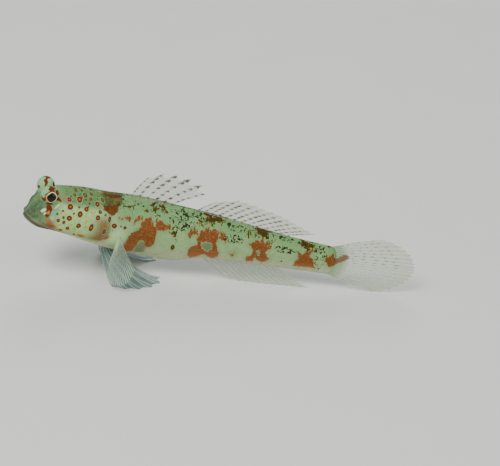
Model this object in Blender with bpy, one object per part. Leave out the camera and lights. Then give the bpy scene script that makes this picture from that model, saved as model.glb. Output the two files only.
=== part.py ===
"""A broad-banded shrimp goby at rest on its fins, at life size, in metres.

The fish lies along X with its snout towards -X. The floor is z = 0, and it stands on the two
pelvic fins, the anal fin and the lower edge of the tail fin. The body is one lofted form, parted
at the gill opening and behind the vent. It is worked out straight, with x from the snout back,
and then bent and pitched by place().
"""

import math

import bmesh
import bpy
import numpy as np

MM = 0.001

# Driving sizes
STANDARD_LENGTH = 74 * MM
GAP = 0.3 * MM
MEMBRANE = 0.5 * MM

# Stance
PITCH = math.radians(6.2)
HEAD_LIFT = math.radians(6.5)
HEAD_TURN = math.radians(20)
HEAD_SPAN = (0.16, 0.50)
TAIL_TURN = math.radians(5)
TAIL_SPAN = (0.66, 1.12)
MIDDLE = 0.5
MIDDLE_PLACE = np.array([-10.92, 0.65, 12.0]) * MM

# Body profile at stations along the standard length, as shares of it: place, height of the back
# above the axis, depth of the belly below it, half width, level of the widest place, squareness.
STATIONS = np.array(
    [
        (0.00, 0.006, 0.044, 0.040, -0.027, 2.1),
        (0.03, 0.050, 0.048, 0.055, -0.020, 2.5),
        (0.07, 0.071, 0.053, 0.067, -0.013, 2.7),
        (0.12, 0.078, 0.060, 0.077, -0.008, 2.55),
        (0.19, 0.082, 0.077, 0.085, -0.004, 2.3),
        (0.26, 0.079, 0.093, 0.084, -0.001, 2.25),
        (0.35, 0.085, 0.102, 0.079, 0.000, 2.15),
        (0.50, 0.083, 0.106, 0.064, 0.000, 2.1),
        (0.60, 0.082, 0.074, 0.052, 0.000, 2.1),
        (0.70, 0.074, 0.068, 0.041, 0.000, 2.05),
        (0.85, 0.061, 0.056, 0.028, 0.000, 2.0),
        (1.00, 0.053, 0.050, 0.014, 0.000, 2.0),
    ]
)
NOSE_ROUND = 0.045
AROUND = 40

# Where the body is parted: the gill opening at the nape, the flank and the throat, and the vent
GILL_NAPE, GILL_FLANK, GILL_THROAT = 0.225, 0.262, 0.190
GILL_FLARE = 0.25 * MM
VENT = 0.60

# Head
MOUND_RADIUS = 2.18 * MM
MOUND_BACK, MOUND_SIDE, MOUND_UP = 3.92 * MM, 2.35 * MM, 4.86 * MM
EYE_RADIUS = 1.75 * MM
EYE_OUT = 0.62 * MM
GAZE = np.array([-0.04, 0.97, 0.18])
MOUTH_START, MOUTH_CORNER = -1.9 * MM, 0.09
MOUTH_SLOPE = 0.25
MOUTH_GROOVE, MOUTH_DEPTH = 0.32 * MM, 0.8 * MM
LIP = 0.50 * MM
NOSTRILS = ((0.016, 52), (0.034, 40))
NOSTRIL_RADIUS = 0.33 * MM

# Skin colours as red, green, blue, with roughness
SKIN = (0.62, 0.68, 0.50, 0.45)
BELLY = (0.66, 0.68, 0.52, 0.45)
CLEAR_FIN = (0.58, 0.66, 0.52, 0.5)
PAIRED_FIN = (0.42, 0.52, 0.45, 0.5)
EYE = (0.10, 0.12, 0.09, 0.15)


def clear_scene():
    for item in list(bpy.data.objects):
        bpy.data.objects.remove(item)


def ease(low, high, value):
    """0 below low, 1 above high, and a smooth rise between."""
    share = np.clip((np.asarray(value, float) - low) / (high - low), 0.0, 1.0)
    return share * share * (3 - 2 * share)


def station(column, s):
    """One column of the body profile at s, on a cubic curve through the stations."""
    places, values = STATIONS[:, 0], STATIONS[:, column]
    slopes = np.gradient(values, places)
    s = np.clip(np.asarray(s, float), 0.0, 1.0)
    i = np.clip(np.searchsorted(places, s, side="right") - 1, 0, len(places) - 2)
    step = places[i + 1] - places[i]
    t = (s - places[i]) / step
    rise = values[i + 1] - values[i]
    cubic = (slopes[i] + slopes[i + 1]) * step - 2 * rise
    square = 3 * rise - (2 * slopes[i] + slopes[i + 1]) * step
    return values[i] + t * (slopes[i] * step + t * (square + t * cubic))


def nose(s):
    """How far the section has opened behind the tip of the snout, from 0 to 1."""
    return np.sqrt(1 - (1 - np.clip(np.asarray(s, float) / NOSE_ROUND, 0, 1)) ** 2)


def body_point(s, angle):
    """A point of the straight body: angle is 0 on the back, a quarter turn on the right flank."""
    level = station(4, s)
    up = (station(1, s) - level) * nose(s)
    down = (station(2, s) + level) * nose(s)
    wide = station(3, s) * nose(s)
    power = 2 / station(5, s)
    c, d = np.cos(angle), np.sin(angle)
    z = level + np.where(c > 0, up, down) * np.sign(c) * np.abs(c) ** power
    y = wide * np.sign(d) * np.abs(d) ** power
    return np.stack(np.broadcast_arrays(s, y, z), axis=-1) * STANDARD_LENGTH


def body_normal(s, angle):
    """The outward direction of the straight body's surface."""
    ds, da = 0.002, 0.01
    s, angle = np.broadcast_arrays(np.asarray(s, float), np.asarray(angle, float))
    along = body_point(np.clip(s + ds, 0, 1), angle) - body_point(np.clip(s - ds, 0, 1), angle)
    round_ = body_point(s, angle + da) - body_point(s, angle - da)
    normal = np.cross(along, round_)
    return normal / np.linalg.norm(normal, axis=-1, keepdims=True)


def heading(s):
    """The turn of the body axis in plan at s: the head turns to -Y, and the tail to +Y."""
    return HEAD_TURN * (1 - ease(*HEAD_SPAN, s)) + TAIL_TURN * ease(*TAIL_SPAN, s)


def slope(s):
    """How steeply the body axis falls towards the tail at s."""
    return PITCH + HEAD_LIFT * (1 - ease(*HEAD_SPAN, s))


def tangent(s):
    turn, fall = heading(s), slope(s)
    return np.stack([np.cos(fall) * np.cos(turn), np.cos(fall) * np.sin(turn), -np.sin(fall)], -1)


AXIS_STEPS = np.linspace(-0.1, 1.5, 1601)
AXIS = np.cumsum(tangent(AXIS_STEPS), axis=0) * (AXIS_STEPS[1] - AXIS_STEPS[0]) * STANDARD_LENGTH
AXIS += MIDDLE_PLACE - AXIS[np.searchsorted(AXIS_STEPS, MIDDLE)]


def place(points):
    """Moves points of the straight fish into its stance, each with the piece of axis it is beside."""
    points = np.asarray(points, float)
    s = points[..., 0] / STANDARD_LENGTH
    turn, fall = heading(s), slope(s)
    side = np.stack([-np.sin(turn), np.cos(turn), np.zeros_like(turn)], axis=-1)
    up = np.cross(tangent(s), side)
    middle = np.stack([np.interp(s, AXIS_STEPS, AXIS[:, i]) for i in range(3)], axis=-1)
    return middle + side * points[..., 1:2] + up * points[..., 2:3]


def finish_of(name, colour):
    material = bpy.data.materials.new(name)
    material.use_nodes = True
    shader = material.node_tree.nodes["Principled BSDF"]
    shader.inputs["Base Color"].default_value = (*colour[:3], 1)
    shader.inputs["Roughness"].default_value = colour[3]
    shader.inputs["Metallic"].default_value = 0.0
    return material


def signed_volume(points, faces):
    total = 0.0
    for face in faces:
        for k in range(1, len(face) - 1):
            a, b, c = points[face[0]], points[face[k]], points[face[k + 1]]
            total += np.dot(a, np.cross(b, c)) / 6
    return total


def add_solid(name, points, faces, colour=SKIN):
    """A mesh object from points and faces, turned so that its faces point out."""
    points = np.asarray(points, float).reshape(-1, 3)
    faces = [list(map(int, face)) for face in faces]
    if signed_volume(points - points.mean(axis=0), faces) < 0:
        faces = [face[::-1] for face in faces]
    mesh = bpy.data.meshes.new(name)
    mesh.from_pydata(points.tolist(), [], faces)
    mesh.shade_smooth()
    mesh.materials.append(finish_of(name, colour))
    solid = bpy.data.objects.new(name, mesh)
    bpy.context.scene.collection.objects.link(solid)
    return solid


def tube_faces(rows, columns):
    """Quads round a tube of rows rings, each of columns points."""
    return [
        (r * columns + c, r * columns + (c + 1) % columns,
         (r + 1) * columns + (c + 1) % columns, (r + 1) * columns + c)
        for r in range(rows - 1)
        for c in range(columns)
    ]


def fan(ring, centre, turned=False):
    """Triangles from a ring of point numbers to one centre point."""
    spokes = [(a, b, centre) for a, b in zip(ring, ring[1:] + ring[:1])]
    return [face[::-1] for face in spokes] if turned else spokes


def loft(name, rings, front, back, colour=SKIN):
    """A closed solid through rings of points, with a centre point at each end."""
    rows, columns = rings.shape[:2]
    points = np.concatenate([rings.reshape(-1, 3), [front, back]])
    first = list(range(columns))
    last = list(range((rows - 1) * columns, rows * columns))
    faces = tube_faces(rows, columns)
    faces += fan(first, rows * columns, turned=True) + fan(last, rows * columns + 1)
    return add_solid(name, points, faces, colour)


def sweep(name, path, normal, half_out, half_side, sides):
    """A rod along path: its section is an ellipse or, with 4 sides, a slab edge on to normal."""
    along = np.gradient(path, axis=0)
    along /= np.linalg.norm(along, axis=1, keepdims=True)
    side = np.cross(along, normal)
    side /= np.linalg.norm(side, axis=1, keepdims=True)
    out = np.cross(side, along)
    turns = np.arange(sides) * 2 * math.pi / sides
    if sides == 4:
        turns = turns + math.pi / 4
    spread = math.sqrt(2) if sides == 4 else 1.0
    rings = (
        path[:, None]
        + out[:, None] * (half_out[:, None] * np.cos(turns) * spread)[..., None]
        + side[:, None] * (half_side[:, None] * np.sin(turns) * spread)[..., None]
    )
    return loft(name, rings, path[0], path[-1])


def ball(name, centre, radius, turns=20, bands=12, colour=SKIN):
    polar = np.linspace(0, math.pi, bands + 1)[1:-1, None]
    round_ = np.arange(turns) * 2 * math.pi / turns
    ring = np.stack(
        [
            np.cos(polar) * np.ones(turns),
            np.sin(polar) * np.cos(round_),
            np.sin(polar) * np.sin(round_),
        ],
        axis=-1,
    )
    ends = np.array([(radius, 0, 0), (-radius, 0, 0)])
    return loft(name, centre + ring * radius, centre + ends[0], centre + ends[1], colour)


def apply_modifiers(solid):
    graph = bpy.context.evaluated_depsgraph_get()
    mesh = bpy.data.meshes.new_from_object(solid.evaluated_get(graph))
    solid.modifiers.clear()
    solid.data = mesh


def combine(solid, others, operation):
    """Joins others to solid, or cuts them from it, in one Boolean, and removes them."""
    helpers = bpy.data.collections.new(solid.name + "_" + operation.lower())
    bpy.context.scene.collection.children.link(helpers)
    for other in others:
        bpy.context.scene.collection.objects.unlink(other)
        helpers.objects.link(other)
    cut = solid.modifiers.new(operation, "BOOLEAN")
    cut.operation = operation
    cut.operand_type = "COLLECTION"
    cut.collection = helpers
    cut.solver = "EXACT"
    apply_modifiers(solid)
    for other in others:
        bpy.data.objects.remove(other)
    bpy.data.collections.remove(helpers)


def keep_largest(solid):
    """Drops every loose scrap, and every sealed hollow, but the largest closed surface."""
    mesh = bmesh.new()
    mesh.from_mesh(solid.data)
    left, parts = set(mesh.verts), []
    while left:
        seed = left.pop()
        part, edge = {seed}, [seed]
        while edge:
            near = [e.other_vert(v) for v in edge for e in v.link_edges]
            edge = [v for v in set(near) if v not in part]
            part.update(edge)
        left -= part
        parts.append(part)
    parts.sort(key=len)
    for part in parts[:-1]:
        bmesh.ops.delete(mesh, geom=list(part), context="VERTS")
    mesh.to_mesh(solid.data)
    mesh.free()


def gill_edge(angle):
    """Where the gill cover ends at each angle round the body, as a share of the length."""
    flank = np.sin(angle) ** 2
    ends = np.where(np.cos(angle) > 0, GILL_NAPE, GILL_THROAT)
    return ends + (GILL_FLANK - ends) * flank


ROUND = np.arange(AROUND) * 2 * math.pi / AROUND


def body_part(name, start, end, spacing, flare=0.0, colour=SKIN):
    """A length of the body between two edges, each a place or a function of the angle."""
    low = start(ROUND) if callable(start) else np.full(AROUND, start)
    high = end(ROUND) if callable(end) else np.full(AROUND, end)
    s = low + (high - low) * np.asarray(spacing)[:, None]
    rings = body_point(s, ROUND)
    rings[-1] += body_normal(s[-1], ROUND) * flare
    level = station(4, np.array([low.mean(), high.mean()]))
    front, back = (
        np.array([share.mean(), 0.0, z]) * STANDARD_LENGTH for share, z in zip((low, high), level)
    )
    return loft(name, place(rings), place(front), place(back), colour)


def mouth_path(points_a_side):
    """The mouth line: where a sloping plane meets the snout, from the left corner to the right."""
    def plane(s):
        return MOUTH_START - MOUTH_SLOPE * s * STANDARD_LENGTH

    tries = np.linspace(0, NOSE_ROUND, 400)
    above = body_point(tries, 0.0)[:, 2] - plane(tries)
    start = float(np.interp(0.0, above, tries))
    t = np.linspace(-1, 1, 2 * points_a_side + 1)
    s = start + (MOUTH_CORNER - start) * t * t
    level = station(4, s) * STANDARD_LENGTH
    up = body_point(s, 0.0)[:, 2] - level
    down = level - body_point(s, math.pi)[:, 2]
    rise = plane(s) - level
    share = np.clip(np.where(rise > 0, rise / up, rise / down), -1, 1)
    power = station(5, s) / 2
    angle = np.arccos(np.sign(share) * np.abs(share) ** power) * np.sign(t)
    return body_point(s, angle), body_normal(s, angle), np.abs(t)


def lips():
    """The two lips, one on each side of the mouth line."""
    path, normal, reach = mouth_path(11)
    fat = LIP * (1 - 0.75 * reach**3)
    made = []
    for name, way in (("upper_lip", 1.0), ("lower_lip", -1.0)):
        middle = path + np.array([0.0, 0.0, way]) * fat[:, None] - normal * (fat * 0.3)[:, None]
        made.append(sweep(name, place(middle), normal, fat, fat, 8))
    return made


def mouth_cut():
    path, normal, _ = mouth_path(11)
    path, normal = path[1:-1], normal[1:-1]
    half = np.ones(len(path))
    return sweep(
        "mouth_cut", place(path - normal * MOUTH_DEPTH * 0.2), normal, half * MOUTH_DEPTH,
        half * MOUTH_GROOVE / 2, 4,
    )


def nostril(name, s, degrees, side):
    """A short tube with a pit in its end, standing on the snout."""
    angle = math.radians(degrees) * side
    base = body_point(s, angle)
    out = body_normal(s, angle)
    across = np.cross(out, (0.0, 0.0, 1.0))
    across /= np.linalg.norm(across)
    other = np.cross(out, across)
    profile = np.array([(1.0, -0.8), (1.0, 0.4), (0.8, 1.1), (0.45, 1.1), (0.35, 0.5)]) * NOSTRIL_RADIUS
    turns = np.arange(8) * math.pi / 4
    rings = (
        base
        + profile[:, 1, None, None] * out
        + profile[:, 0, None, None]
        * (np.cos(turns)[:, None] * across + np.sin(turns)[:, None] * other)
    )
    ends = base + out * profile[0, 1], base + out * profile[-1, 1]
    return loft(name, place(rings), place(ends[0]), place(ends[1]))


def head():
    spacing = 1 - np.cos(np.linspace(0.06, 1, 22) * math.pi / 2)
    solid = body_part("head", 0.0, lambda a: gill_edge(a) - GAP / STANDARD_LENGTH / 2, spacing, GILL_FLARE)
    extras = lips()
    for side in (-1, 1):
        extras.append(ball("eye_mound", place(mound_centre(side)), MOUND_RADIUS))
        extras += [nostril("nostril", s, degrees, side) for s, degrees in NOSTRILS]
    combine(solid, extras, "UNION")
    cuts = [mouth_cut()]
    for side in (-1, 1):
        cuts.append(ball("socket", place(eye_centre(side)), EYE_RADIUS + GAP))
    combine(solid, cuts, "DIFFERENCE")
    keep_largest(solid)


def mound_centre(side):
    return np.array([MOUND_BACK, MOUND_SIDE * side, MOUND_UP])


def eye_centre(side):
    """The eyeball sits in its mound, pushed out along its gaze."""
    return mound_centre(side) + GAZE / np.linalg.norm(GAZE) * EYE_OUT * np.array([1, side, 1])


def eyes():
    for name, side in (("eye_left", -1), ("eye_right", 1)):
        ball(name, place(eye_centre(side)), EYE_RADIUS, colour=EYE)


def trunk_and_tail():
    half = GAP / STANDARD_LENGTH / 2
    body_part("trunk", lambda a: gill_edge(a) + half, VENT - half, np.linspace(0, 1, 14), colour=BELLY)
    body_part("tail", VENT + half, 1.0, np.linspace(0, 1, 13))


RAY_SHARE = 0.17
RIB_ROOT, RIB_TIP = 0.9 * MM, 0.5 * MM
ROOT_REACH = 0.17
FLAT_BLEND = 2 * MM


def ray_columns(rays, between):
    """Places across a fin, in rays: each ray's two feet and crest, and points between rays."""
    columns = []
    for ray in range(rays):
        columns += [ray - RAY_SHARE, ray, ray + RAY_SHARE]
        columns += [ray + k / (between + 1) for k in range(1, between + 1) if ray < rays - 1]
    return np.clip(np.array(columns), 0, rays - 1)[1:-1]


def fin(name, curves, outward, colour, scallop, root_thick, between=0, rest=None):
    """A fin from its rays, each a curve from root to tip: a membrane with a ridge on each ray.

    The membrane's edge dips by scallop between two rays. root_thick is the thickness at the body,
    lost over the first part of the fin. Both faces are split into triangles alike. A resting fin
    is flattened where it meets the floor.
    """
    rays, rows = curves.shape[:2]
    u = ray_columns(rays, between)
    v = np.linspace(0, 1, rows)
    lower = np.clip(np.floor(u).astype(int), 0, rays - 2)
    share = u - lower
    grid = np.empty((len(u), rows, 3))
    for c, (i, f) in enumerate(zip(lower, share)):
        curve = curves[i] * (1 - f) + curves[i + 1] * f
        reach = v * (1 - scallop * math.sin(math.pi * f) ** 2)
        for axis in range(3):
            grid[c, :, axis] = np.interp(reach, v, curve[:, axis])
    root_normal = outward[lower] * (1 - share)[:, None] + outward[lower + 1] * share[:, None]
    crest = np.abs(u - np.round(u)) < 1e-6
    ridge = RIB_ROOT + (RIB_TIP - RIB_ROOT) * v
    thick = np.where(crest[:, None], ridge, MEMBRANE)
    swell = np.clip(1 - v / ROOT_REACH, 0, 1) ** 2
    thick = thick + (root_thick - thick) * swell
    across = np.gradient(grid, axis=0)
    normal = np.cross(across, np.gradient(grid, axis=1))
    normal /= np.linalg.norm(normal, axis=-1, keepdims=True)
    if rest == "flat":
        grid[..., 2] = np.maximum(grid[..., 2], thick / 2)
        lie = np.clip((grid[..., 2] - thick / 2) / FLAT_BLEND, 0, 1)[..., None]
        flat = np.array([0.0, 0.0, 1.0]) * np.sign(normal[..., 2:3].mean())
        normal = normal * lie + flat * (1 - lie)
        normal /= np.linalg.norm(normal, axis=-1, keepdims=True)
    inward = (normal[:, 0] * root_normal).sum(axis=-1, keepdims=True) * root_normal
    normal[:, 0] -= inward
    normal[:, 0] /= np.linalg.norm(normal[:, 0], axis=-1, keepdims=True)
    near = grid - normal * thick[..., None] / 2
    far = grid + normal * thick[..., None] / 2
    points = np.concatenate([near.reshape(-1, 3), far.reshape(-1, 3)])
    if rest:
        points[:, 2] = np.maximum(points[:, 2], 0.0)
    return add_solid(name, points, sheet_faces(len(u), rows), colour)


def sheet_faces(columns, rows):
    """Triangles of a closed sheet of two like faces, the second numbered after the first."""
    size = columns * rows
    faces = []
    for c in range(columns - 1):
        for r in range(rows - 1):
            a = c * rows + r
            b, d = a + 1, a + rows
            e = d + 1
            faces += [(a, b, e), (a, e, d), (a + size, e + size, b + size), (a + size, d + size, e + size)]
    rim = [c * rows for c in range(columns)]
    rim += [(columns - 1) * rows + r for r in range(1, rows)]
    rim += [c * rows + rows - 1 for c in range(columns - 2, -1, -1)]
    rim += [r for r in range(rows - 2, 0, -1)]
    for a, b in zip(rim, rim[1:] + rim[:1]):
        faces += [(a, b, b + size), (a, b + size, a + size)]
    return faces


def ray_curves(roots, directions, lengths, bends, rows):
    """Rays as curves: each leaves its root along a direction and bends as the square of v."""
    v = np.linspace(0, 1, rows)[None, :, None]
    directions = directions / np.linalg.norm(directions, axis=-1, keepdims=True)
    reach = np.asarray(lengths)[:, None, None]
    return roots[:, None] + (directions[:, None] * v + bends[:, None] * v * v) * reach


def lean(degrees, up):
    """Directions in the middle plane, leaning back from straight up or down."""
    turn = np.radians(degrees)
    return np.stack([np.sin(turn), np.zeros_like(turn), np.cos(turn) * up], axis=-1)


def along_root(pairs, count):
    """Values at count even steps along a fin's root, on straight lines through a few of them."""
    places, values = np.array(pairs, float).T
    return np.interp(np.linspace(0, 1, count), places, values)


def middle_fin(name, sizes, up, rest=None):
    """A fin on the back or the belly, with its root along the body's middle line."""
    rays = sizes["rays"]
    s = np.linspace(sizes["start"], sizes["end"], rays)
    angle = np.full(rays, 0.0 if up > 0 else math.pi)
    outward = body_normal(s, angle)
    roots = body_point(s, angle) + outward * GAP
    bends = np.tile(np.array([sizes["bend"][0], 0.0, sizes["bend"][1] * up]), (rays, 1))
    directions = lean(along_root(sizes["leans"], rays), up)
    curves = ray_curves(roots, directions, along_root(sizes["lengths"], rays), bends, sizes["rows"])
    fin(name, place(curves), outward, CLEAR_FIN, sizes["scallop"], 1.1 * MM, sizes["between"], rest)


# The fins of the middle line: where each starts and ends along the body, its rays, their lengths
# and how far they lean back at a few places along its root, and how their tips bend back and up.
FRONT_DORSAL = {
    "start": 0.322,
    "end": 0.455,
    "rays": 6,
    "lengths": [(0, 6.8 * MM), (0.2, 9.0 * MM), (0.6, 10.4 * MM), (0.8, 10.2 * MM), (1, 8.2 * MM)],
    "leans": [(0, 17), (0.2, 21), (0.6, 34), (1, 49)],
    "bend": (0.16, -0.06),
    "scallop": 0.16,
    "rows": 8,
    "between": 1,
}
REAR_DORSAL = {
    "start": 0.54,
    "end": 0.83,
    "rays": 13,
    "lengths": [(0, 5.2 * MM), (0.15, 7.6 * MM), (0.6, 8.2 * MM), (1, 7.2 * MM)],
    "leans": [(0, 44), (0.2, 43), (0.5, 53), (1, 72)],
    "bend": (0.06, -0.05),
    "scallop": 0.06,
    "rows": 7,
    "between": 0,
}
ANAL = {
    "start": 0.592,
    "end": 0.83,
    "rays": 13,
    "lengths": [(0, 6.5 * MM), (0.15, 8.6 * MM), (0.7, 9.0 * MM), (1, 9.6 * MM)],
    "leans": [(0, 46), (1, 58)],
    "bend": (0.10, -0.06),
    "scallop": 0.06,
    "rows": 7,
    "between": 0,
}


def middle_fins():
    middle_fin("dorsal_fin_front", FRONT_DORSAL, 1)
    middle_fin("dorsal_fin_rear", REAR_DORSAL, 1)
    middle_fin("anal_fin", ANAL, -1, "edge")


CAUDAL_RAYS = 17
CAUDAL_ROOT_SHARE = 0.9
CAUDAL_TILT, CAUDAL_SPREAD = 3, 23
CAUDAL_LENGTH, CAUDAL_CORNER_LOSS = 21 * MM, 8 * MM
CAUDAL_BEND = 0.10
CAUDAL_THICK = 2.0 * MM


def tail_fin():
    """A rounded fan from the end of the tail stalk."""
    spread = np.linspace(1, -1, CAUDAL_RAYS)
    root_high = station(1, 1.0) * STANDARD_LENGTH * CAUDAL_ROOT_SHARE
    root_low = station(2, 1.0) * STANDARD_LENGTH * CAUDAL_ROOT_SHARE
    roots = np.stack(
        [
            np.full(CAUDAL_RAYS, STANDARD_LENGTH + GAP),
            np.zeros(CAUDAL_RAYS),
            np.where(spread > 0, root_high, root_low) * spread,
        ],
        axis=-1,
    )
    fanned = np.radians(CAUDAL_TILT + CAUDAL_SPREAD * np.sign(spread) * np.abs(spread) ** 1.3)
    directions = np.stack([np.cos(fanned), np.zeros(CAUDAL_RAYS), np.sin(fanned)], axis=-1)
    lengths = CAUDAL_LENGTH - CAUDAL_CORNER_LOSS * np.abs(spread) ** 2.4
    bends = np.stack([np.zeros(CAUDAL_RAYS), np.zeros(CAUDAL_RAYS), -CAUDAL_BEND * spread], axis=-1)
    curves = ray_curves(roots, directions, lengths, bends, 9)
    outward = np.tile(np.array([1.0, 0.0, 0.0]), (CAUDAL_RAYS, 1))
    fin("tail_fin", place(curves), outward, CLEAR_FIN, 0.03, CAUDAL_THICK, rest="edge")


PECTORAL_RAYS = 15
PECTORAL_ROOT = (0.298, 0.312)
PECTORAL_ANGLES = (92, 126)
PECTORAL_TOP, PECTORAL_BOTTOM = np.array([0.46, 0.60, -0.64]), np.array([-0.32, 0.48, -0.82])
PECTORAL_LENGTH, PECTORAL_CROWN, PECTORAL_TAPER = 9.6 * MM, 2.4 * MM, 1.2 * MM
PECTORAL_BEND = np.array([0.16, -0.10, 0.02])


def mirrored(points, side):
    return points * np.array([1.0, side, 1.0])


def pectoral_fins():
    """Each spreads from a fleshy lobe behind the gill opening, out, back and down."""
    u = np.linspace(0, 1, PECTORAL_RAYS)
    s = PECTORAL_ROOT[0] + (PECTORAL_ROOT[1] - PECTORAL_ROOT[0]) * u
    angle = np.radians(PECTORAL_ANGLES[0] + (PECTORAL_ANGLES[1] - PECTORAL_ANGLES[0]) * u)
    outward = body_normal(s, angle)
    roots = body_point(s, angle) + outward * GAP
    directions = PECTORAL_TOP + (PECTORAL_BOTTOM - PECTORAL_TOP) * u[:, None]
    lengths = PECTORAL_LENGTH + PECTORAL_CROWN * np.sin(math.pi * u) - PECTORAL_TAPER * u
    bends = np.tile(PECTORAL_BEND, (PECTORAL_RAYS, 1))
    curves = ray_curves(roots, directions, lengths, bends, 8)
    for name, side in (("pectoral_fin_left", -1), ("pectoral_fin_right", 1)):
        fin(name, place(mirrored(curves, side)), mirrored(outward, side), PAIRED_FIN, 0.04, 1.5 * MM)


PELVIC_RAYS = 6
PELVIC_ROOT = (0.262, 0.300)
PELVIC_SIDE = (2.3 * MM, 0.75 * MM)
PELVIC_REACH = np.array([6.6, 9.0, 11.2, 12.8, 13.6, 12.6]) * MM
PELVIC_SPLAY = (66, 14)
PELVIC_FALL = 1.75


def pelvic_fins():
    """Props under the throat: each ray runs down and out, then lies along the floor."""
    u = np.linspace(0, 1, PELVIC_RAYS)
    s = PELVIC_ROOT[0] + (PELVIC_ROOT[1] - PELVIC_ROOT[0]) * u
    offset = PELVIC_SIDE[0] + (PELVIC_SIDE[1] - PELVIC_SIDE[0]) * u
    wide = station(3, s) * STANDARD_LENGTH
    angle = math.pi - np.arcsin((offset / wide) ** (station(5, s) / 2))
    outward = body_normal(s, angle)
    roots = body_point(s, angle) + outward * GAP
    splay = np.radians(PELVIC_SPLAY[0] + (PELVIC_SPLAY[1] - PELVIC_SPLAY[0]) * u)
    v = np.linspace(0, 1, 9)
    for name, side in (("pelvic_fin_left", -1), ("pelvic_fin_right", 1)):
        start = place(mirrored(roots, side))
        turn = splay * side + heading(s)
        level = np.stack([np.cos(turn), np.sin(turn)], axis=-1) * PELVIC_REACH[:, None]
        curves = np.empty((PELVIC_RAYS, len(v), 3))
        curves[..., :2] = start[:, None, :2] + level[:, None] * v[:, None] ** 1.1
        curves[..., 2] = start[:, None, 2] * (1 - v) ** PELVIC_FALL
        fin(name, curves, mirrored(outward, side), PAIRED_FIN, 0.05, 1.0 * MM, 1, "flat")


clear_scene()
head()
eyes()
trunk_and_tail()
middle_fins()
tail_fin()
pectoral_fins()
pelvic_fins()
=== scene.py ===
"""The looks of a broad-banded shrimp goby, a still model at life size, in metres.

The fish lies along X with its snout towards -X and its left flank towards -Y, at rest on its
pelvic fins, its anal fin and the lower edge of its tail fin.
"""

import math

import bpy
import numpy as np

from mathutils import Matrix


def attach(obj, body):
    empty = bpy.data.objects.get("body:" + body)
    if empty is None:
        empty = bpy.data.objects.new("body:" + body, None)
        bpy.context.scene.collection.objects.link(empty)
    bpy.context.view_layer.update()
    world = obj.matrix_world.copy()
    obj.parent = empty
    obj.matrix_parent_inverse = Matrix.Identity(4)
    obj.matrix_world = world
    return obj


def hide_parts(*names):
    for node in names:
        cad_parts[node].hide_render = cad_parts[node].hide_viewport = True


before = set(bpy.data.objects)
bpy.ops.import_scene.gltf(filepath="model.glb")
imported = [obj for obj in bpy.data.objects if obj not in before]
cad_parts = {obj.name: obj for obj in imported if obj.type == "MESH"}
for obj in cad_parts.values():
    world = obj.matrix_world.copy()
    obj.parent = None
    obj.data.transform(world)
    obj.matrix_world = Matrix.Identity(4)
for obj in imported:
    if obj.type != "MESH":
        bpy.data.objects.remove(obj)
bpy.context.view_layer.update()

# The floor and the studio
# A plain pale floor under the fish, a large soft lamp high on the left, a weaker one from the
# right, and a pale sky all round.

FLOOR_SIZE = 6.0
FLOOR_TONE, FLOOR_SHADE = (0.70, 0.71, 0.68), 0.96
FLOOR_CLOUDS_PER_METRE = 60
SKY_COLOUR = (0.86, 0.90, 0.92)
SKY_STRENGTH = 0.42


def new_finish(name):
    """A material, its tree of nodes and its main shader."""
    material = bpy.data.materials.new(name)
    material.use_nodes = True
    return material, material.node_tree, material.node_tree.nodes["Principled BSDF"]


def feed(value, socket):
    """Gives a socket a number, a colour, three numbers or another node's output."""
    if isinstance(value, (int, float)):
        socket.default_value = value
    elif isinstance(value, tuple):
        socket.default_value = value if len(socket.default_value) == 3 else (*value, 1)
    else:
        socket.id_data.links.new(value, socket)


def feed_all(node, **inputs):
    """Feeds a node's inputs by their names, written with _ for a space."""
    for name, value in inputs.items():
        feed(value, node.inputs[name.replace("_", " ")])
    return node


def new_node(tree, kind, **inputs):
    """A node of a kind, with some of its inputs fed."""
    return feed_all(tree.nodes.new("ShaderNode" + kind), **inputs)


def over(under, tone, share, kind="RGBA"):
    """Lays a tone over another by a share from 0 to 1, which is a node's output."""
    mix = new_node(share.id_data, "Mix")
    mix.data_type = kind
    return feed_all(mix, A=under, B=tone, Factor=share).outputs["Result"]


def scaled(tone, factor):
    """A tone made lighter or darker."""
    return tuple(factor * c for c in tone)


def place_in(tree):
    """The piece's own coordinates."""
    return new_node(tree, "TexCoord").outputs["Object"]


def noise_at(place, scale, detail=2.0, distortion=0.0):
    """Noise on some coordinates."""
    node = new_node(place.id_data, "TexNoise", Vector=place, Scale=scale, Detail=detail)
    return feed_all(node, Distortion=distortion).outputs["Fac"]


def floor_finish():
    """Matt pale board, a little uneven in tone."""
    material, tree, shader = new_finish("floor_board")
    clouds = noise_at(place_in(tree), FLOOR_CLOUDS_PER_METRE)
    tone = over(FLOOR_TONE, scaled(FLOOR_TONE, FLOOR_SHADE), clouds)
    feed_all(shader, Base_Color=tone, Roughness=0.85)
    return material


def board():
    """A flat square in the plane z = 0."""
    half = FLOOR_SIZE / 2
    mesh = bpy.data.meshes.new("floor")
    corners = [(-half, -half, 0), (half, -half, 0), (half, half, 0), (-half, half, 0)]
    mesh.from_pydata(corners, [], [(0, 1, 2, 3)])
    mesh.materials.append(floor_finish())
    flat = bpy.data.objects.new("floor", mesh)
    bpy.context.scene.collection.objects.link(flat)
    return flat


board()


LIT_PLACE = (0, 0, 0.01)


def unit(vectors):
    """The same directions with a length of 1."""
    return vectors / np.maximum(np.linalg.norm(vectors, axis=-1, keepdims=True), 1e-12)


def lamp(name, place, size, watts, colour):
    """A square soft lamp at place, turned to face the fish."""
    light = bpy.data.lights.new(name, "AREA")
    light.size = size
    light.energy = watts
    light.color = colour
    holder = bpy.data.objects.new(name, light)
    holder.location = place
    away = unit(np.array(place) - np.array(LIT_PLACE))
    holder.rotation_euler = (math.acos(away[2]), 0, math.atan2(away[1], away[0]) + math.pi / 2)
    bpy.context.scene.collection.objects.link(holder)


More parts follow.
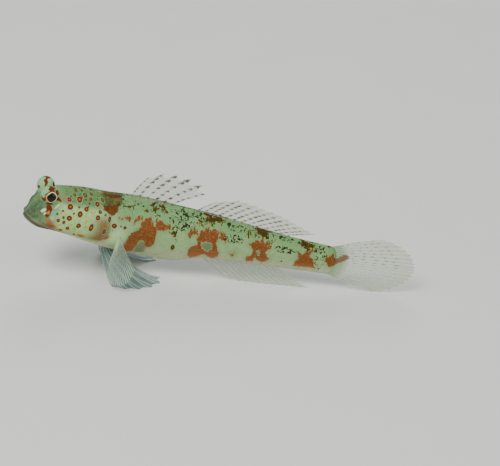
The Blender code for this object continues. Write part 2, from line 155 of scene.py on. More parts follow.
lamp("key_lamp", (-0.25, -0.35, 0.60), 0.30, 5.0, (1.0, 0.98, 0.94))
lamp("fill_lamp", (0.55, -0.20, 0.35), 0.45, 1.6, (0.93, 0.98, 1.0))
lamp("back_lamp", (0.05, 0.60, 0.45), 0.40, 2.0, (1.0, 1.0, 1.0))

sky = bpy.data.worlds.new("pale_sky")
sky.use_nodes = True
feed_all(sky.node_tree.nodes["Background"], Color=SKY_COLOUR, Strength=SKY_STRENGTH)
bpy.context.scene.world = sky

# The camera
# It looks down at the left flank at 30 degrees, rolled a little so that the tail goes down, from
# 45 cm away with a long lens.

ELEVATION = math.radians(30)
ROLL = math.radians(-6.5)
DISTANCE = 0.450
SUBJECT = np.array([-0.0001, 0.0003, 0.011])
LENS_MM, SENSOR_MM = 136, 36
SUBJECT_LEFT, SUBJECT_LOW = 0.0067, 0.0016


def camera():
    """Set back from the subject along the line of sight, then moved across it to frame the fish."""
    back = np.array([0.0, -math.cos(ELEVATION), math.sin(ELEVATION)])
    level = np.array([1.0, 0.0, 0.0])
    upright = np.cross(back, level)
    right = level * math.cos(ROLL) - upright * math.sin(ROLL)
    up = level * math.sin(ROLL) + upright * math.cos(ROLL)
    place = SUBJECT + back * DISTANCE + right * SUBJECT_LEFT + up * SUBJECT_LOW
    lens = bpy.data.cameras.new("camera")
    lens.lens = LENS_MM
    lens.sensor_width = SENSOR_MM
    lens.clip_start = 0.01
    holder = bpy.data.objects.new("camera", lens)
    turned = np.eye(4)
    turned[:3, 0], turned[:3, 1], turned[:3, 2], turned[:3, 3] = right, up, back, place
    holder.matrix_world = Matrix(turned)
    bpy.context.scene.collection.objects.link(holder)
    bpy.context.scene.camera = holder


camera()

# The body
# One skin over head, trunk and tail stalk: slender, deepest at the belly, with the eyes on two
# low mounds, thick lips and loose gill covers. It is worked out straight, with x from the snout
# back, and then bent and pitched into the stance.

MM = 0.001
STANDARD_LENGTH = 74 * MM
PITCH, HEAD_LIFT, HEAD_TURN, TAIL_TURN = (math.radians(a) for a in (6.2, 6.5, 20, 5))
HEAD_SPAN, TAIL_SPAN = (0.16, 0.50), (0.66, 1.12)
MIDDLE, MIDDLE_PLACE = 0.5, np.array([-10.92, 0.65, 12.0]) * MM

# Place along the body, height of the back above the axis, depth of the belly below it, half
# width, level of the widest place and squareness, as shares of the standard length.
STATIONS = np.array(
    [
        (0.00, 0.006, 0.044, 0.040, -0.027, 2.1),
        (0.03, 0.050, 0.048, 0.055, -0.020, 2.5),
        (0.07, 0.071, 0.053, 0.067, -0.013, 2.7),
        (0.12, 0.078, 0.060, 0.077, -0.008, 2.55),
        (0.19, 0.082, 0.077, 0.085, -0.004, 2.3),
        (0.26, 0.079, 0.093, 0.084, -0.001, 2.25),
        (0.35, 0.085, 0.102, 0.079, 0.000, 2.15),
        (0.50, 0.083, 0.106, 0.064, 0.000, 2.1),
        (0.60, 0.082, 0.074, 0.052, 0.000, 2.1),
        (0.70, 0.074, 0.068, 0.041, 0.000, 2.05),
        (0.85, 0.061, 0.056, 0.028, 0.000, 2.0),
        (1.00, 0.053, 0.050, 0.014, 0.000, 2.0),
    ]
)
NOSE_ROUND = 0.045
GILL_NAPE, GILL_FLANK, GILL_THROAT = 0.225, 0.262, 0.190
SKIN_END = 1.022


def ease(low, high, value):
    """0 below low, 1 above high, and a smooth rise between."""
    share = np.clip((np.asarray(value, float) - low) / (high - low), 0.0, 1.0)
    return share * share * (3 - 2 * share)


def fade(low, high, value):
    """1 below low, 0 above high, and a smooth fall between."""
    return 1 - ease(low, high, value)


def station(column, s):
    """One column of the body profile at s: a cubic with the stations' own slopes."""
    places, values = STATIONS[:, 0], STATIONS[:, column]
    slopes = np.gradient(values, places)
    s = np.clip(np.asarray(s, float), 0.0, 1.0)
    i = np.clip(np.searchsorted(places, s, side="right") - 1, 0, len(places) - 2)
    step = places[i + 1] - places[i]
    t = (s - places[i]) / step
    rise = values[i + 1] - values[i]
    cubic = (slopes[i] + slopes[i + 1]) * step - 2 * rise
    square = 3 * rise - (2 * slopes[i] + slopes[i + 1]) * step
    return values[i] + t * (slopes[i] * step + t * (square + t * cubic))


def closing(s):
    """How open the section is: a quarter ellipse at the snout and another past the tail stalk."""
    s = np.asarray(s, float)
    snout = np.sqrt(1 - (1 - np.clip(s / NOSE_ROUND, 0, 1)) ** 2)
    stalk = np.sqrt(1 - np.clip((s - 1) / (SKIN_END - 1), 0, 1) ** 2)
    return snout * stalk


def body_point(s, angle):
    """A point of the straight body: a squared ellipse round the axis, at an angle from the back.

    The angle is 0 on the back and a quarter turn on the right flank. The half height differs
    above and below the widest level, and height and width open with closing().
    """
    level = station(4, s)
    up = (station(1, s) - level) * closing(s)
    down = (station(2, s) + level) * closing(s)
    wide = station(3, s) * closing(s)
    power = 2 / station(5, s)
    c, d = np.cos(angle), np.sin(angle)
    z = level + np.where(c > 0, up, down) * np.sign(c) * np.abs(c) ** power
    y = wide * np.sign(d) * np.abs(d) ** power
    return np.stack(np.broadcast_arrays(s, y, z), axis=-1) * STANDARD_LENGTH


def body_normal(s, angle):
    """Outward direction of the straight body, from differences along and round it."""
    s, angle = np.broadcast_arrays(np.asarray(s, float), np.asarray(angle, float))
    behind = body_point(np.minimum(s + 0.002, SKIN_END - 0.001), angle)
    along = behind - body_point(np.maximum(s - 0.002, 0.0), angle)
    across = body_point(s, angle + 0.01) - body_point(s, angle - 0.01)
    return unit(np.cross(along, across))


def heading(s):
    """Turn of the axis in plan: the head to -Y and the tail fin to +Y."""
    return HEAD_TURN * fade(*HEAD_SPAN, s) + TAIL_TURN * ease(*TAIL_SPAN, s)


def tangent(s):
    """Direction of the axis towards the tail."""
    turn = heading(s)
    fall = PITCH + HEAD_LIFT * fade(*HEAD_SPAN, s)
    return np.stack([np.cos(fall) * np.cos(turn), np.cos(fall) * np.sin(turn), -np.sin(fall)], -1)


AXIS_STEPS = np.linspace(-0.1, 1.5, 1601)
AXIS = np.cumsum(tangent(AXIS_STEPS), axis=0) * (AXIS_STEPS[1] - AXIS_STEPS[0]) * STANDARD_LENGTH
AXIS += MIDDLE_PLACE - AXIS[np.searchsorted(AXIS_STEPS, MIDDLE)]


def stance(points):
    """Carries points of the straight fish along with the bent and pitched axis beside them."""
    s = points[..., 0] / STANDARD_LENGTH
    turn = heading(s)
    side = np.stack([-np.sin(turn), np.cos(turn), np.zeros_like(turn)], axis=-1)
    up = np.cross(tangent(s), side)
    middle = np.stack([np.interp(s, AXIS_STEPS, AXIS[:, i]) for i in range(3)], axis=-1)
    return middle + side * points[..., 1:2] + up * points[..., 2:3]


def gill_edge(angle):
    """Where the gill cover ends, as a share of the length: furthest back on the flank."""
    ends = np.where(np.cos(angle) > 0, GILL_NAPE, GILL_THROAT)
    return ends + (GILL_FLANK - ends) * np.sin(angle) ** 2


# The eyes' mounds on top of the head, and how each eyeball sits in its mound
MOUND_RADIUS = 2.13 * MM
MOUND_PLACE = np.array([3.92, 2.35, 4.86]) * MM
MOUND_ROOT = 1.3 * MM
MOUND_BLEND = 0.45 * MM
EYE_RADIUS = 1.86 * MM
EYE_OUT = 0.50 * MM
GAZE = unit(np.array([-0.04, 0.97, 0.18]))
RIM_HEIGHT, RIM_OFF_GAZE, RIM_SPREAD = 0.05 * MM, 57, 5
SOCKET_DEPTH, SOCKET_EDGE = 0.6 * MM, (38, 50)
MOUND_REACH = 9 * MM

# The head's relief: heights, depths and half widths of its lines and folds, and their places
MOUTH_START, MOUTH_SLOPE, MOUTH_CORNER = -1.9 * MM, 0.25, 0.09
MOUTH_DEPTH, MOUTH_HALF, LIP_HEIGHT, LIP_OFF = 0.55 * MM, 0.13 * MM, 0.34 * MM, 0.50 * MM
UPPER_LIP_HALF, LOWER_LIP_HALF, LIP_THINNED = 0.36 * MM, 0.38 * MM, 0.6
LIP_FOLD, LIP_FOLD_OFF, LIP_FOLD_HALF = 0.16 * MM, 1.05 * MM, 0.16 * MM
CHEEK_GROOVE, CHEEK_GROOVE_PLACE, CHEEK_GROOVE_BOW = 0.13 * MM, 0.150, 0.012
GILL_STEP, GILL_STEP_LENGTH = 0.36 * MM, 0.035
NOSTRILS = ((0.020, 50), (0.036, 38))
NOSTRIL_RIM, NOSTRIL_HOLE = 0.34 * MM, 0.30 * MM
SNOUT_RADIUS_MM = 3.0

# Soft swellings: height, place along the body and width, degrees from the back and spread
CHEEK_SWELL = (0.16 * MM, 0.118, 0.028, 88, 26)
FIN_LOBE = (0.60 * MM, 0.306, 0.025, 107, 18)


def mirrored(values, side):
    """Places or directions of the right side, as they are on a side: 1 is right and -1 left."""
    return np.asarray(values) * np.array([1.0, side, 1.0])


def bump(value, centre, width):
    """A bell of height 1 round centre."""
    return np.exp(-(((value - centre) / width) ** 2))


def smooth_max(a, b, blend):
    """The larger of a and b, with the corner between them rounded over blend."""
    near = np.clip(0.5 + (a - b) / (2 * blend), 0, 1)
    return b + (a - b) * near + blend * near * (1 - near)


def off_axis(away, axis):
    """Degrees between some directions and an axis of length 1."""
    far = np.maximum(np.linalg.norm(away, axis=-1), 1e-9)
    return np.degrees(np.arccos(np.clip((away @ axis) / far, -1, 1)))


def raise_mounds(points):
    """Pushes the skin out from a place under each eye until it lies on the eye's mound.

    Along a ray from that place, the skin is at the smooth larger of the head's own distance and
    the distance at which the ray leaves the mound's ball. A low rim stands round the eyeball, and
    inside it the skin sinks behind the eye.
    """
    for side in (-1, 1):
        centre, gaze = mirrored(MOUND_PLACE, side), mirrored(GAZE, side)
        inward = -np.array([0.0, centre[1], centre[2]]) / np.hypot(centre[1], centre[2])
        root = centre + inward * MOUND_ROOT
        ray = points - root
        reach = np.linalg.norm(ray, axis=-1)
        ray = unit(ray)
        near = ray @ (centre - root)
        leave = near + np.sqrt(np.maximum(near**2 - MOUND_ROOT**2 + MOUND_RADIUS**2, 0))
        new_reach = smooth_max(leave, reach, MOUND_BLEND)
        moved = root + ray * new_reach[..., None]
        from_centre = moved - centre
        far = np.linalg.norm(from_centre, axis=-1)
        off_gaze = off_axis(from_centre, gaze)
        on_ball = fade(MOUND_RADIUS * 1.05, MOUND_RADIUS * 1.25, far)
        lift = RIM_HEIGHT * bump(off_gaze, RIM_OFF_GAZE, RIM_SPREAD)
        lift = lift - SOCKET_DEPTH * fade(*SOCKET_EDGE, off_gaze)
        moved += unit(from_centre) * (lift * on_ball)[..., None]
        points = np.where((reach < MOUND_REACH)[..., None], moved, points)
    return points


def mouth_height(points):
    """Height of straight points above the sloping plane in which the mouth line lies."""
    return points[..., 2] - (MOUTH_START - MOUTH_SLOPE * points[..., 0])


def nostril_off(s, angle):
    """Distance in mm from the nearest of a side's two short nostril tubes."""
    flank = np.abs(np.degrees(angle))
    off = np.full(s.shape, 9.0)
    for place, turn in NOSTRILS:
        x, y = (s - place) * STANDARD_LENGTH / MM, np.radians(flank - turn) * SNOUT_RADIUS_MM
        off = np.minimum(off, np.hypot(x, y))
    return off


def swelling(s, flank, height, place, width, turn, spread):
    """A soft rise of the skin round a place along the body and degrees from the back."""
    return height * bump(s, place, width) * bump(flank, turn, spread)


def head_relief(s, angle, points):
    """Rise and fall of the skin in metres: lips, nostrils, mouth line, cheek, gill cover, fin lobe."""
    flank = np.abs(np.degrees(angle))
    height = mouth_height(points)
    here = fade(MOUTH_CORNER * 0.82, MOUTH_CORNER * 1.08, s)
    thin = 1 - LIP_THINNED * ease(0.0, MOUTH_CORNER, s)
    lips = bump(height, LIP_OFF, UPPER_LIP_HALF) + bump(height, -LIP_OFF, LOWER_LIP_HALF)
    line = -MOUTH_DEPTH * bump(height, 0, MOUTH_HALF)
    fold = -LIP_FOLD * bump(height, LIP_FOLD_OFF, LIP_FOLD_HALF) * ease(0.01, 0.04, s)
    relief = (LIP_HEIGHT * lips * thin + line + fold) * here
    tube = nostril_off(s, angle)
    relief += NOSTRIL_RIM * bump(tube, 0, 0.34) - NOSTRIL_HOLE * bump(tube, 0, 0.15)
    groove = CHEEK_GROOVE_PLACE + CHEEK_GROOVE_BOW * np.cos(np.radians(flank - 60) * 2)
    relief -= swelling(s, flank, CHEEK_GROOVE, groove, 0.006, 88, 38)
    relief += swelling(s, flank, *CHEEK_SWELL)
    edge = gill_edge(angle)
    cover = (s <= edge) * (0.04 + 0.05 * bump(flank, 90, 40)) * MM * bump(s, edge, 0.03)
    cover *= ease(30, 62, flank)
    behind = -GILL_STEP * (s > edge) * fade(0, GILL_STEP_LENGTH, s - edge) * ease(36, 66, flank)
    return relief + cover + behind + swelling(s, flank, *FIN_LOBE)


HEAD_ROWS, BODY_ROWS, ROUND_COLUMNS = 158, 196, 250
GILL_ROWS_APART = 0.0012
SNOUT_CROWDING, TAIL_CROWDING = 0.45, 1.12


def skin_grid():
    """Rows from the snout to the gill edge, then to the tail, and columns round the body.

    Rows crowd towards the snout, partly even and partly as 1 - cos, and one row runs along the
    edge of the gill cover on each side of its step.
    """
    angle = np.arange(ROUND_COLUMNS) * 2 * math.pi / ROUND_COLUMNS
    angle = (angle + math.pi) % (2 * math.pi) - math.pi
    edge = gill_edge(angle)
    to_gill = 1 - np.cos(np.linspace(0.03, 1, HEAD_ROWS) * math.pi / 2)
    to_gill = SNOUT_CROWDING * to_gill + (1 - SNOUT_CROWDING) * np.linspace(0.0015, 1, HEAD_ROWS)
    front = edge * to_gill[:, None]
    to_tail = 1 - (1 - np.linspace(0.0, 1, BODY_ROWS + 1)[1:-1]) ** TAIL_CROWDING
    start = edge + GILL_ROWS_APART
    back = start + (SKIN_END - start) * np.concatenate([[0.0], to_tail])[:, None]
    s = np.concatenate([front, back])
    return s, np.broadcast_to(angle, s.shape)


def straight_skin(s, angle):
    """The skin of the straight fish: the body, its relief and its two eye mounds."""
    points = body_point(s, angle)
    points = points + body_normal(s, angle) * head_relief(s, angle, points)[..., None]
    return raise_mounds(points)


# The skin's markings
# Every mark is a number on each point of the skin, which the finish turns into colour: the depth
# in mm inside the outline of a band, saddle or patch, the distance from the nearest ringed spot
# in radii of that spot, or how much there is of flecks or of a softer shade.

# Outlines on each flank, as places along the body and degrees from the middle of the back
BANDS = (
    (
        (0.334, 152), (0.320, 121), (0.330, 107), (0.340, 95), (0.359, 83), (0.377, 74), (0.372, 62),
        (0.385, 58), (0.394, 53), (0.403, 46), (0.414, 60), (0.424, 67), (0.427, 54), (0.440, 46),
        (0.448, 56), (0.461, 60), (0.474, 56), (0.476, 68), (0.463, 74), (0.436, 73), (0.434, 83),
        (0.434, 94), (0.434, 104), (0.420, 113), (0.404, 110), (0.398, 101), (0.385, 98),
        (0.376, 110), (0.371, 129), (0.360, 144), (0.347, 152),
    ),
    ((0.347, 68), (0.353, 54), (0.373, 49), (0.376, 55), (0.360, 62)),
    ((0.310, 57), (0.324, 51), (0.338, 56), (0.329, 62)),
    ((0.293, 60), (0.305, 56), (0.310, 61), (0.300, 66)),
    ((0.533, 70), (0.543, 63), (0.559, 55), (0.564, 62), (0.555, 72), (0.548, 80), (0.538, 77)),
    (
        (0.568, 67), (0.578, 59), (0.590, 49), (0.596, 43), (0.604, 55), (0.628, 49), (0.635, 62),
        (0.637, 75), (0.632, 82), (0.636, 96), (0.645, 106), (0.644, 123), (0.631, 146),
        (0.609, 130), (0.602, 122), (0.592, 123), (0.580, 135), (0.560, 142), (0.549, 127),
        (0.546, 108), (0.557, 97), (0.572, 93), (0.567, 82),
    ),
    ((0.634, 53), (0.641, 50), (0.653, 62), (0.661, 79), (0.654, 73), (0.646, 75), (0.640, 67)),
    (
        (0.732, 119), (0.735, 107), (0.749, 102), (0.750, 87), (0.743, 76), (0.733, 66), (0.749, 60),
        (0.752, 42), (0.761, 53), (0.769, 42), (0.780, 52), (0.790, 51), (0.801, 70), (0.796, 79),
        (0.791, 84), (0.807, 108), (0.794, 125), (0.778, 121), (0.768, 120), (0.763, 107),
        (0.756, 127), (0.741, 133),
    ),
    (
        (0.891, 127), (0.891, 102), (0.899, 89), (0.891, 62), (0.903, 71), (0.910, 73), (0.916, 58),
        (0.926, 52), (0.939, 46), (0.936, 73), (0.947, 87), (0.958, 114), (0.964, 126),
        (0.942, 123), (0.921, 125),
    ),
    ((0.990, 62), (1.030, 50), (1.030, 118), (1.002, 112), (0.996, 96), (0.984, 88)),
    ((0.678, 106), (0.687, 109), (0.698, 92), (0.695, 109), (0.689, 122)),
)
WINDOWS = (
    (
        (0.583, 87), (0.600, 84), (0.614, 83), (0.622, 93), (0.619, 102), (0.607, 112),
        (0.597, 105), (0.586, 98),
    ),
    ((0.762, 87), (0.774, 81), (0.775, 98), (0.767, 104)),
)
SADDLES = (
    ((0.226, 0), (0.230, 7), (0.246, 5), (0.262, 10), (0.286, 7), (0.300, 0)),
    ((0.262, 13), (0.274, 16), (0.296, 14), (0.298, 22), (0.288, 30), (0.270, 27), (0.284, 20)),
    ((0.341, 4), (0.351, 4), (0.351, 9), (0.341, 9)),
    ((0.315, 28), (0.338, 26), (0.339, 33), (0.319, 36)),
    ((0.338, 12), (0.344, 11), (0.354, 20), (0.349, 23)),
    ((0.381, 35), (0.387, 30), (0.394, 34), (0.389, 40)),
    ((0.397, 14), (0.422, 18), (0.421, 28), (0.421, 45), (0.414, 31), (0.406, 26)),
    ((0.424, 9), (0.443, 2), (0.464, 26), (0.453, 31), (0.438, 22)),
    (
        (0.574, 33), (0.578, 16), (0.598, 8), (0.618, 2), (0.642, 12), (0.636, 28), (0.621, 28),
        (0.612, 36), (0.606, 44), (0.596, 34), (0.586, 38),
    ),
    ((0.556, 27), (0.567, 24), (0.579, 41), (0.573, 49), (0.562, 41)),
    ((0.738, 2), (0.764, 2), (0.790, 8), (0.790, 35), (0.768, 42), (0.747, 44), (0.749, 24)),
    ((0.723, 48), (0.723, 32), (0.731, 19), (0.734, 34), (0.730, 50)),
    ((0.797, 64), (0.797, 49), (0.807, 44), (0.805, 58)),
    ((0.889, 28), (0.902, 3), (0.924, 8), (0.946, 27), (0.947, 47), (0.925, 52), (0.903, 48)),
    ((0.483, 67), (0.501, 65), (0.505, 76), (0.503, 90), (0.495, 82), (0.484, 76)),
    ((0.984, 8), (0.996, 4), (1.004, 20), (0.992, 34)),
)
NAPE_WASH = ((0.222, 0), (0.226, 16), (0.224, 34), (0.240, 36), (0.284, 34), (0.300, 22), (0.302, 0))
VEILS = (
    *WINDOWS,
    ((0.372, 118), (0.385, 100), (0.400, 101), (0.412, 112), (0.406, 130), (0.372, 140)),
)
RED_PATCHES = (
    ((0.224, 0), (0.236, 2), (0.252, 4.5), (0.272, 6), (0.290, 4), (0.300, 0)),
    (
        (0.229, 34), (0.243, 31), (0.258, 33), (0.282, 29), (0.284, 39), (0.279, 49), (0.262, 58),
        (0.248, 51), (0.230, 46),
    ),
    ((0.396, 19), (0.402, 5), (0.414, -4), (0.424, 0), (0.412, 7), (0.405, 17)),
    ((0.570, 4), (0.574, 0), (0.602, 0), (0.600, 9), (0.586, 12)),
    ((0.604, 6), (0.607, 0), (0.630, 4), (0.633, 12), (0.620, 11)),
    ((0.742, 12), (0.750, 2), (0.777, 0), (0.797, 5), (0.792, 13), (0.765, 10)),
    ((0.921, 6), (0.932, 1), (0.948, 8), (0.936, 10)),
)

# Where dark flecks are strewn: place, degrees, half length in mm, half spread in degrees, density
FLECK_FIELDS = (
    (0.300, 22, 1.9, 24, 0.85), (0.508, 34, 3.4, 36, 1.0), (0.555, 14, 2.2, 18, 1.0),
    (0.684, 28, 2.8, 18, 1.0), (0.682, 64, 3.0, 14, 1.0), (0.846, 22, 2.7, 18, 1.0),
    (0.850, 66, 3.0, 14, 1.05), (0.968, 70, 1.7, 70, 0.85), (0.430, 22, 3.4, 24, 0.70),
    (0.350, 30, 2.0, 30, 0.65), (0.160, 12, 6.0, 16, 0.55), (0.610, 24, 3.0, 28, 0.75),
    (0.770, 22, 3.5, 26, 0.75), (0.920, 24, 3.0, 28, 0.75), (0.846, 110, 0.8, 8, 0.6),
    (0.730, 10, 9.0, 14, 0.5),
)

# The pale breast behind the gill cover, as the flecks' fields but for the density
BREAST_FIELD = (0.302, 105, 2.7, 24)

# Ringed spots: place along the body, degrees from the middle of the back, radius in mm, and how
# many times as tall as long. Those on the crown and those past the head are olive, and small
# ones nearly so.
HEAD_SPOTS = (
    (0.114, 32, 0.55, 1), (0.147, 29, 0.66, 1.1), (0.168, 14, 0.60, 1), (0.190, 8, 0.50, 1),
    (0.141, 3, 0.42, 1), (0.133, 16, 0.42, 1), (0.185, 24, 0.42, 1), (0.207, 35, 0.62, 1),
    (0.227, 20, 0.52, 1), (0.118, 52, 0.69, 1), (0.146, 50, 0.30, 1), (0.170, 52, 0.57, 1),
    (0.152, 66, 0.60, 1.25), (0.132, 67, 0.27, 1), (0.097, 65, 0.28, 1), (0.082, 74, 0.30, 1),
    (0.121, 78, 0.64, 1), (0.090, 86, 0.42, 1.1), (0.108, 87, 0.40, 1.1), (0.124, 97, 0.46, 0.9),
    (0.106, 110, 0.40, 0.7), (0.156, 89, 0.58, 1), (0.198, 89, 0.56, 1.75),
    (0.213, 67, 0.60, 1.1), (0.218, 53, 0.48, 1), (0.256, 66, 0.50, 1.5), (0.246, 93, 0.50, 1.4),
    (0.152, 118, 0.28, 0.8), (0.278, 80, 0.66, 1), (0.318, 80, 0.45, 1), (0.278, 90, 0.21, 1),
    (0.179, 37, 0.32, 1), (0.168, 28, 0.33, 1), (0.238, 58, 0.31, 1), (0.302, 78, 0.28, 1),
    (0.496, 105, 0.50, 1.4), (0.848, 110, 0.24, 1), (0.103, 79, 0.30, 1.3), (0.155, 22, 0.28, 1),
    (0.176, 45, 0.26, 1), (0.120, 22, 0.24, 1), (0.238, 30, 0.30, 1),
)
CROWN_TURN, PAST_HEAD = 26, 0.45
SMALL_SPOT, SMALL_SPOT_OLIVE = 0.34, 0.7
SPOT_FROM = (0.055, 0.08)

# How far back and how much higher the right flank's marks lie, as no fish is the same on both sides
FAR_SIDE_SHIFT, FAR_SIDE_RISE = 0.006, 1.03

# The depth at the outline of a face mark: each is raised by this, so that 0 is well outside
EDGE = 0.6

# The face's patches, as ellipses: place, degrees, half length and half height in mm, and by how
# many degrees the long axis leans down towards the tail
FACE_PATCHES = {
    "brown": (
        (0.0550, 62, 0.95, 0.60, 60), (0.0545, 73, 0.80, 0.60, 95), (0.083, 37, 0.75, 0.30, 52),
        (0.078, 33, 0.40, 0.34, 0),
    ),
    "blush": ((0.098, 31, 2.2, 0.9, 8),),
    "amber": ((0.0553, 72, 0.40, 0.34, 80),),
    "cream": ((0.040, 65, 0.55, 0.36, -15), (0.0455, 74, 0.36, 0.18, -15)),
    "dash": ((0.0795, 54, 0.64, 0.19, -42), (0.0735, 60, 0.30, 0.15, -42)),
    "blue": ((0.0690, 73, 0.58, 0.38, 110), (0.0665, 78, 0.42, 0.26, 150)),
    "jaw": ((0.073, 97, 1.9, 0.75, 32), (0.101, 112, 1.15, 0.62, 20)),
    "throat": ((0.175, 118, 1.05, 0.75, 10), (0.2605, 109, 1.25, 0.55, -40)),
    "mouth corner": ((0.071, 83, 0.5, 0.35, 0),),
}

# By how many mm the jaw's red patches are drawn in
JAW_SMALLER = 0.12

# Red-brown sectors of the eye and its mound: degrees clockwise from the top as seen from the
# left, half width, and from how many degrees off the gaze to how many. The rest is pale mint.
EYE_SECTORS = (
    (357, 25, 0, 84), (357, 13, 80, 150), (52, 22, 0, 86), (106, 15, 0, 84), (182, 22, 0, 72),
    (243, 17, 0, 82), (284, 4, 0, 78), (66, 17, 100, 132), (288, 14, 104, 128),
)


def girth_radius(s):
    """Mean radius of the section at s, in metres."""
    return STANDARD_LENGTH * (station(1, s) + station(2, s) + 2 * station(3, s)) / 4


def laid_flat(s, degrees):
    """Millimetres along the body and round it, as if the flank were unrolled."""
    return s * STANDARD_LENGTH / MM, np.radians(degrees) * girth_radius(s) / MM


def depth_inside(x, y, outline, margin=1.5):
    """Distance in mm from a closed outline: above 0 inside it and below 0 outside.

    The distance is the least of those to its sides, and a point is inside when a line from it
    crosses the sides an odd number of times. Beyond the margin, it is minus the margin.
    """
    places, turns = np.array(outline).T
    corner_x, corner_y = laid_flat(places, turns)
    depth = np.full(x.shape, -margin)
    near = (x > corner_x.min() - margin) & (x < corner_x.max() + margin)
    near &= (y > corner_y.min() - margin) & (y < corner_y.max() + margin)
    px, py = x[near], y[near]
    least, crossed = np.full(px.shape, 1e9), np.zeros(px.shape, bool)
    for ax, ay, bx, by in zip(corner_x, corner_y, np.roll(corner_x, -1), np.roll(corner_y, -1)):
        wide, high = bx - ax, by - ay
        share = np.clip(((px - ax) * wide + (py - ay) * high) / (wide * wide + high * high), 0, 1)
        least = np.minimum(least, np.hypot(px - ax - share * wide, py - ay - share * high))
        if high != 0:
            crossed ^= ((ay > py) != (by > py)) & (px < ax + (py - ay) * wide / high)
    depth[near] = np.where(crossed, least, -least)
    return np.maximum(depth, -margin)


def markings(s, angle):
    """The marks of bands, saddles, spots and flecks at places on the skin, as arrays."""
    right = angle > 0
    degrees = np.abs(np.degrees(angle)) * np.where(right, FAR_SIDE_RISE, 1.0)
    place = s - np.where(right, FAR_SIDE_SHIFT * (1 + np.sin(40 * s)), 0.0)
    x, y = laid_flat(place, degrees)

    def deepest(outlines):
        """Depth in mm inside the nearest of some outlines."""
        return np.max([depth_inside(x, y, outline) for outline in outlines], axis=0)

    def off_field(where, turn, half_long, half_spread):
        """Distance from the middle of an oval field, which is 1 on the oval."""
        along = (place - where) * STANDARD_LENGTH / MM / half_long
        return np.hypot(along, (degrees - turn) / half_spread)

    band = np.minimum(deepest(BANDS), -deepest(WINDOWS))
    fleck = np.zeros(s.shape)
    for *field, density in FLECK_FIELDS:
        fleck = np.maximum(fleck, density * fade(0.7, 1.25, off_field(*field)))

    # Spots nearer the back or the throat are drawn out a little round the body
    spot, dull = np.full(s.shape, 9.0), np.zeros(s.shape)
    straight = body_point(s, angle)
    for i, (where, turn, radius, tall) in enumerate(HEAD_SPOTS):
        squat = max(math.cos(math.radians(68 - turn)), 0.64) / tall
        olive = turn < CROWN_TURN or where > PAST_HEAD
        shade = 1.0 if olive else SMALL_SPOT_OLIVE if radius < SMALL_SPOT else 0.0
        for side in (-1, 1):
            nudge = FAR_SIDE_SHIFT * math.sin(7.0 * i) * (side > 0)
            centre = body_point(np.array(where + nudge), np.array(math.radians(turn) * side))
            away = straight - centre
            off = np.hypot(away[..., 0], np.hypot(away[..., 1], away[..., 2]) * squat)
            off = off / (radius * MM)
            dull = np.where(off < spot, shade, dull)
            spot = np.minimum(spot, off)
    round_bands = 0.28 * ease(-1.1, -0.1, band) * ease(44, 60, degrees)
    return {
        "breast": fade(0.45, 1.15, off_field(*BREAST_FIELD)),
        "wash": EDGE + depth_inside(x, y, NAPE_WASH, EDGE),
        "veil": np.maximum(ease(-0.35, 0.40, deepest(VEILS)), round_bands),
        "band": band,
        "olive": deepest(SADDLES),
        "rust": deepest(RED_PATCHES),
        "fray": 0.10 + 0.90 * fade(44, 95, degrees),
        "fleck": fleck,
        "spot": spot + 9 * fade(*SPOT_FROM, s),
        "dull": dull,
        "back": fade(18, 96, degrees),
        "belly": ease(92, 140, degrees),
    }


def eye_axes(side):
    """The gaze of one eye, and the upward and tailward directions across it."""
    gaze = mirrored(GAZE, side)
    up = unit(np.array([0.0, 0.0, 1.0]) - gaze * gaze[2])
    return gaze, up, unit(np.array([1.0, 0.0, 0.0]) - gaze * gaze[0] - up * up[0])


def clock_of(away, side):
    """Degrees clockwise round the gaze and degrees away from it, for directions from a mound."""
    gaze, up, back = eye_axes(side)
    return np.degrees(np.arctan2(away @ back, away @ up)) % 360, off_axis(away, gaze)


def apart_on_clock(clock, turn):
    """Degrees between places on the clock and one of its hours, 180 at most."""
    return np.abs((clock - turn + 180) % 360 - 180)


def rounded_least(a, b, radius=0.5):
    """The lesser of two depths in mm, with the corner where both are small rounded by a radius."""
    corner = radius - np.hypot(np.maximum(radius - a, 0), np.maximum(radius - b, 0))
    return np.minimum(np.minimum(a, b), corner)


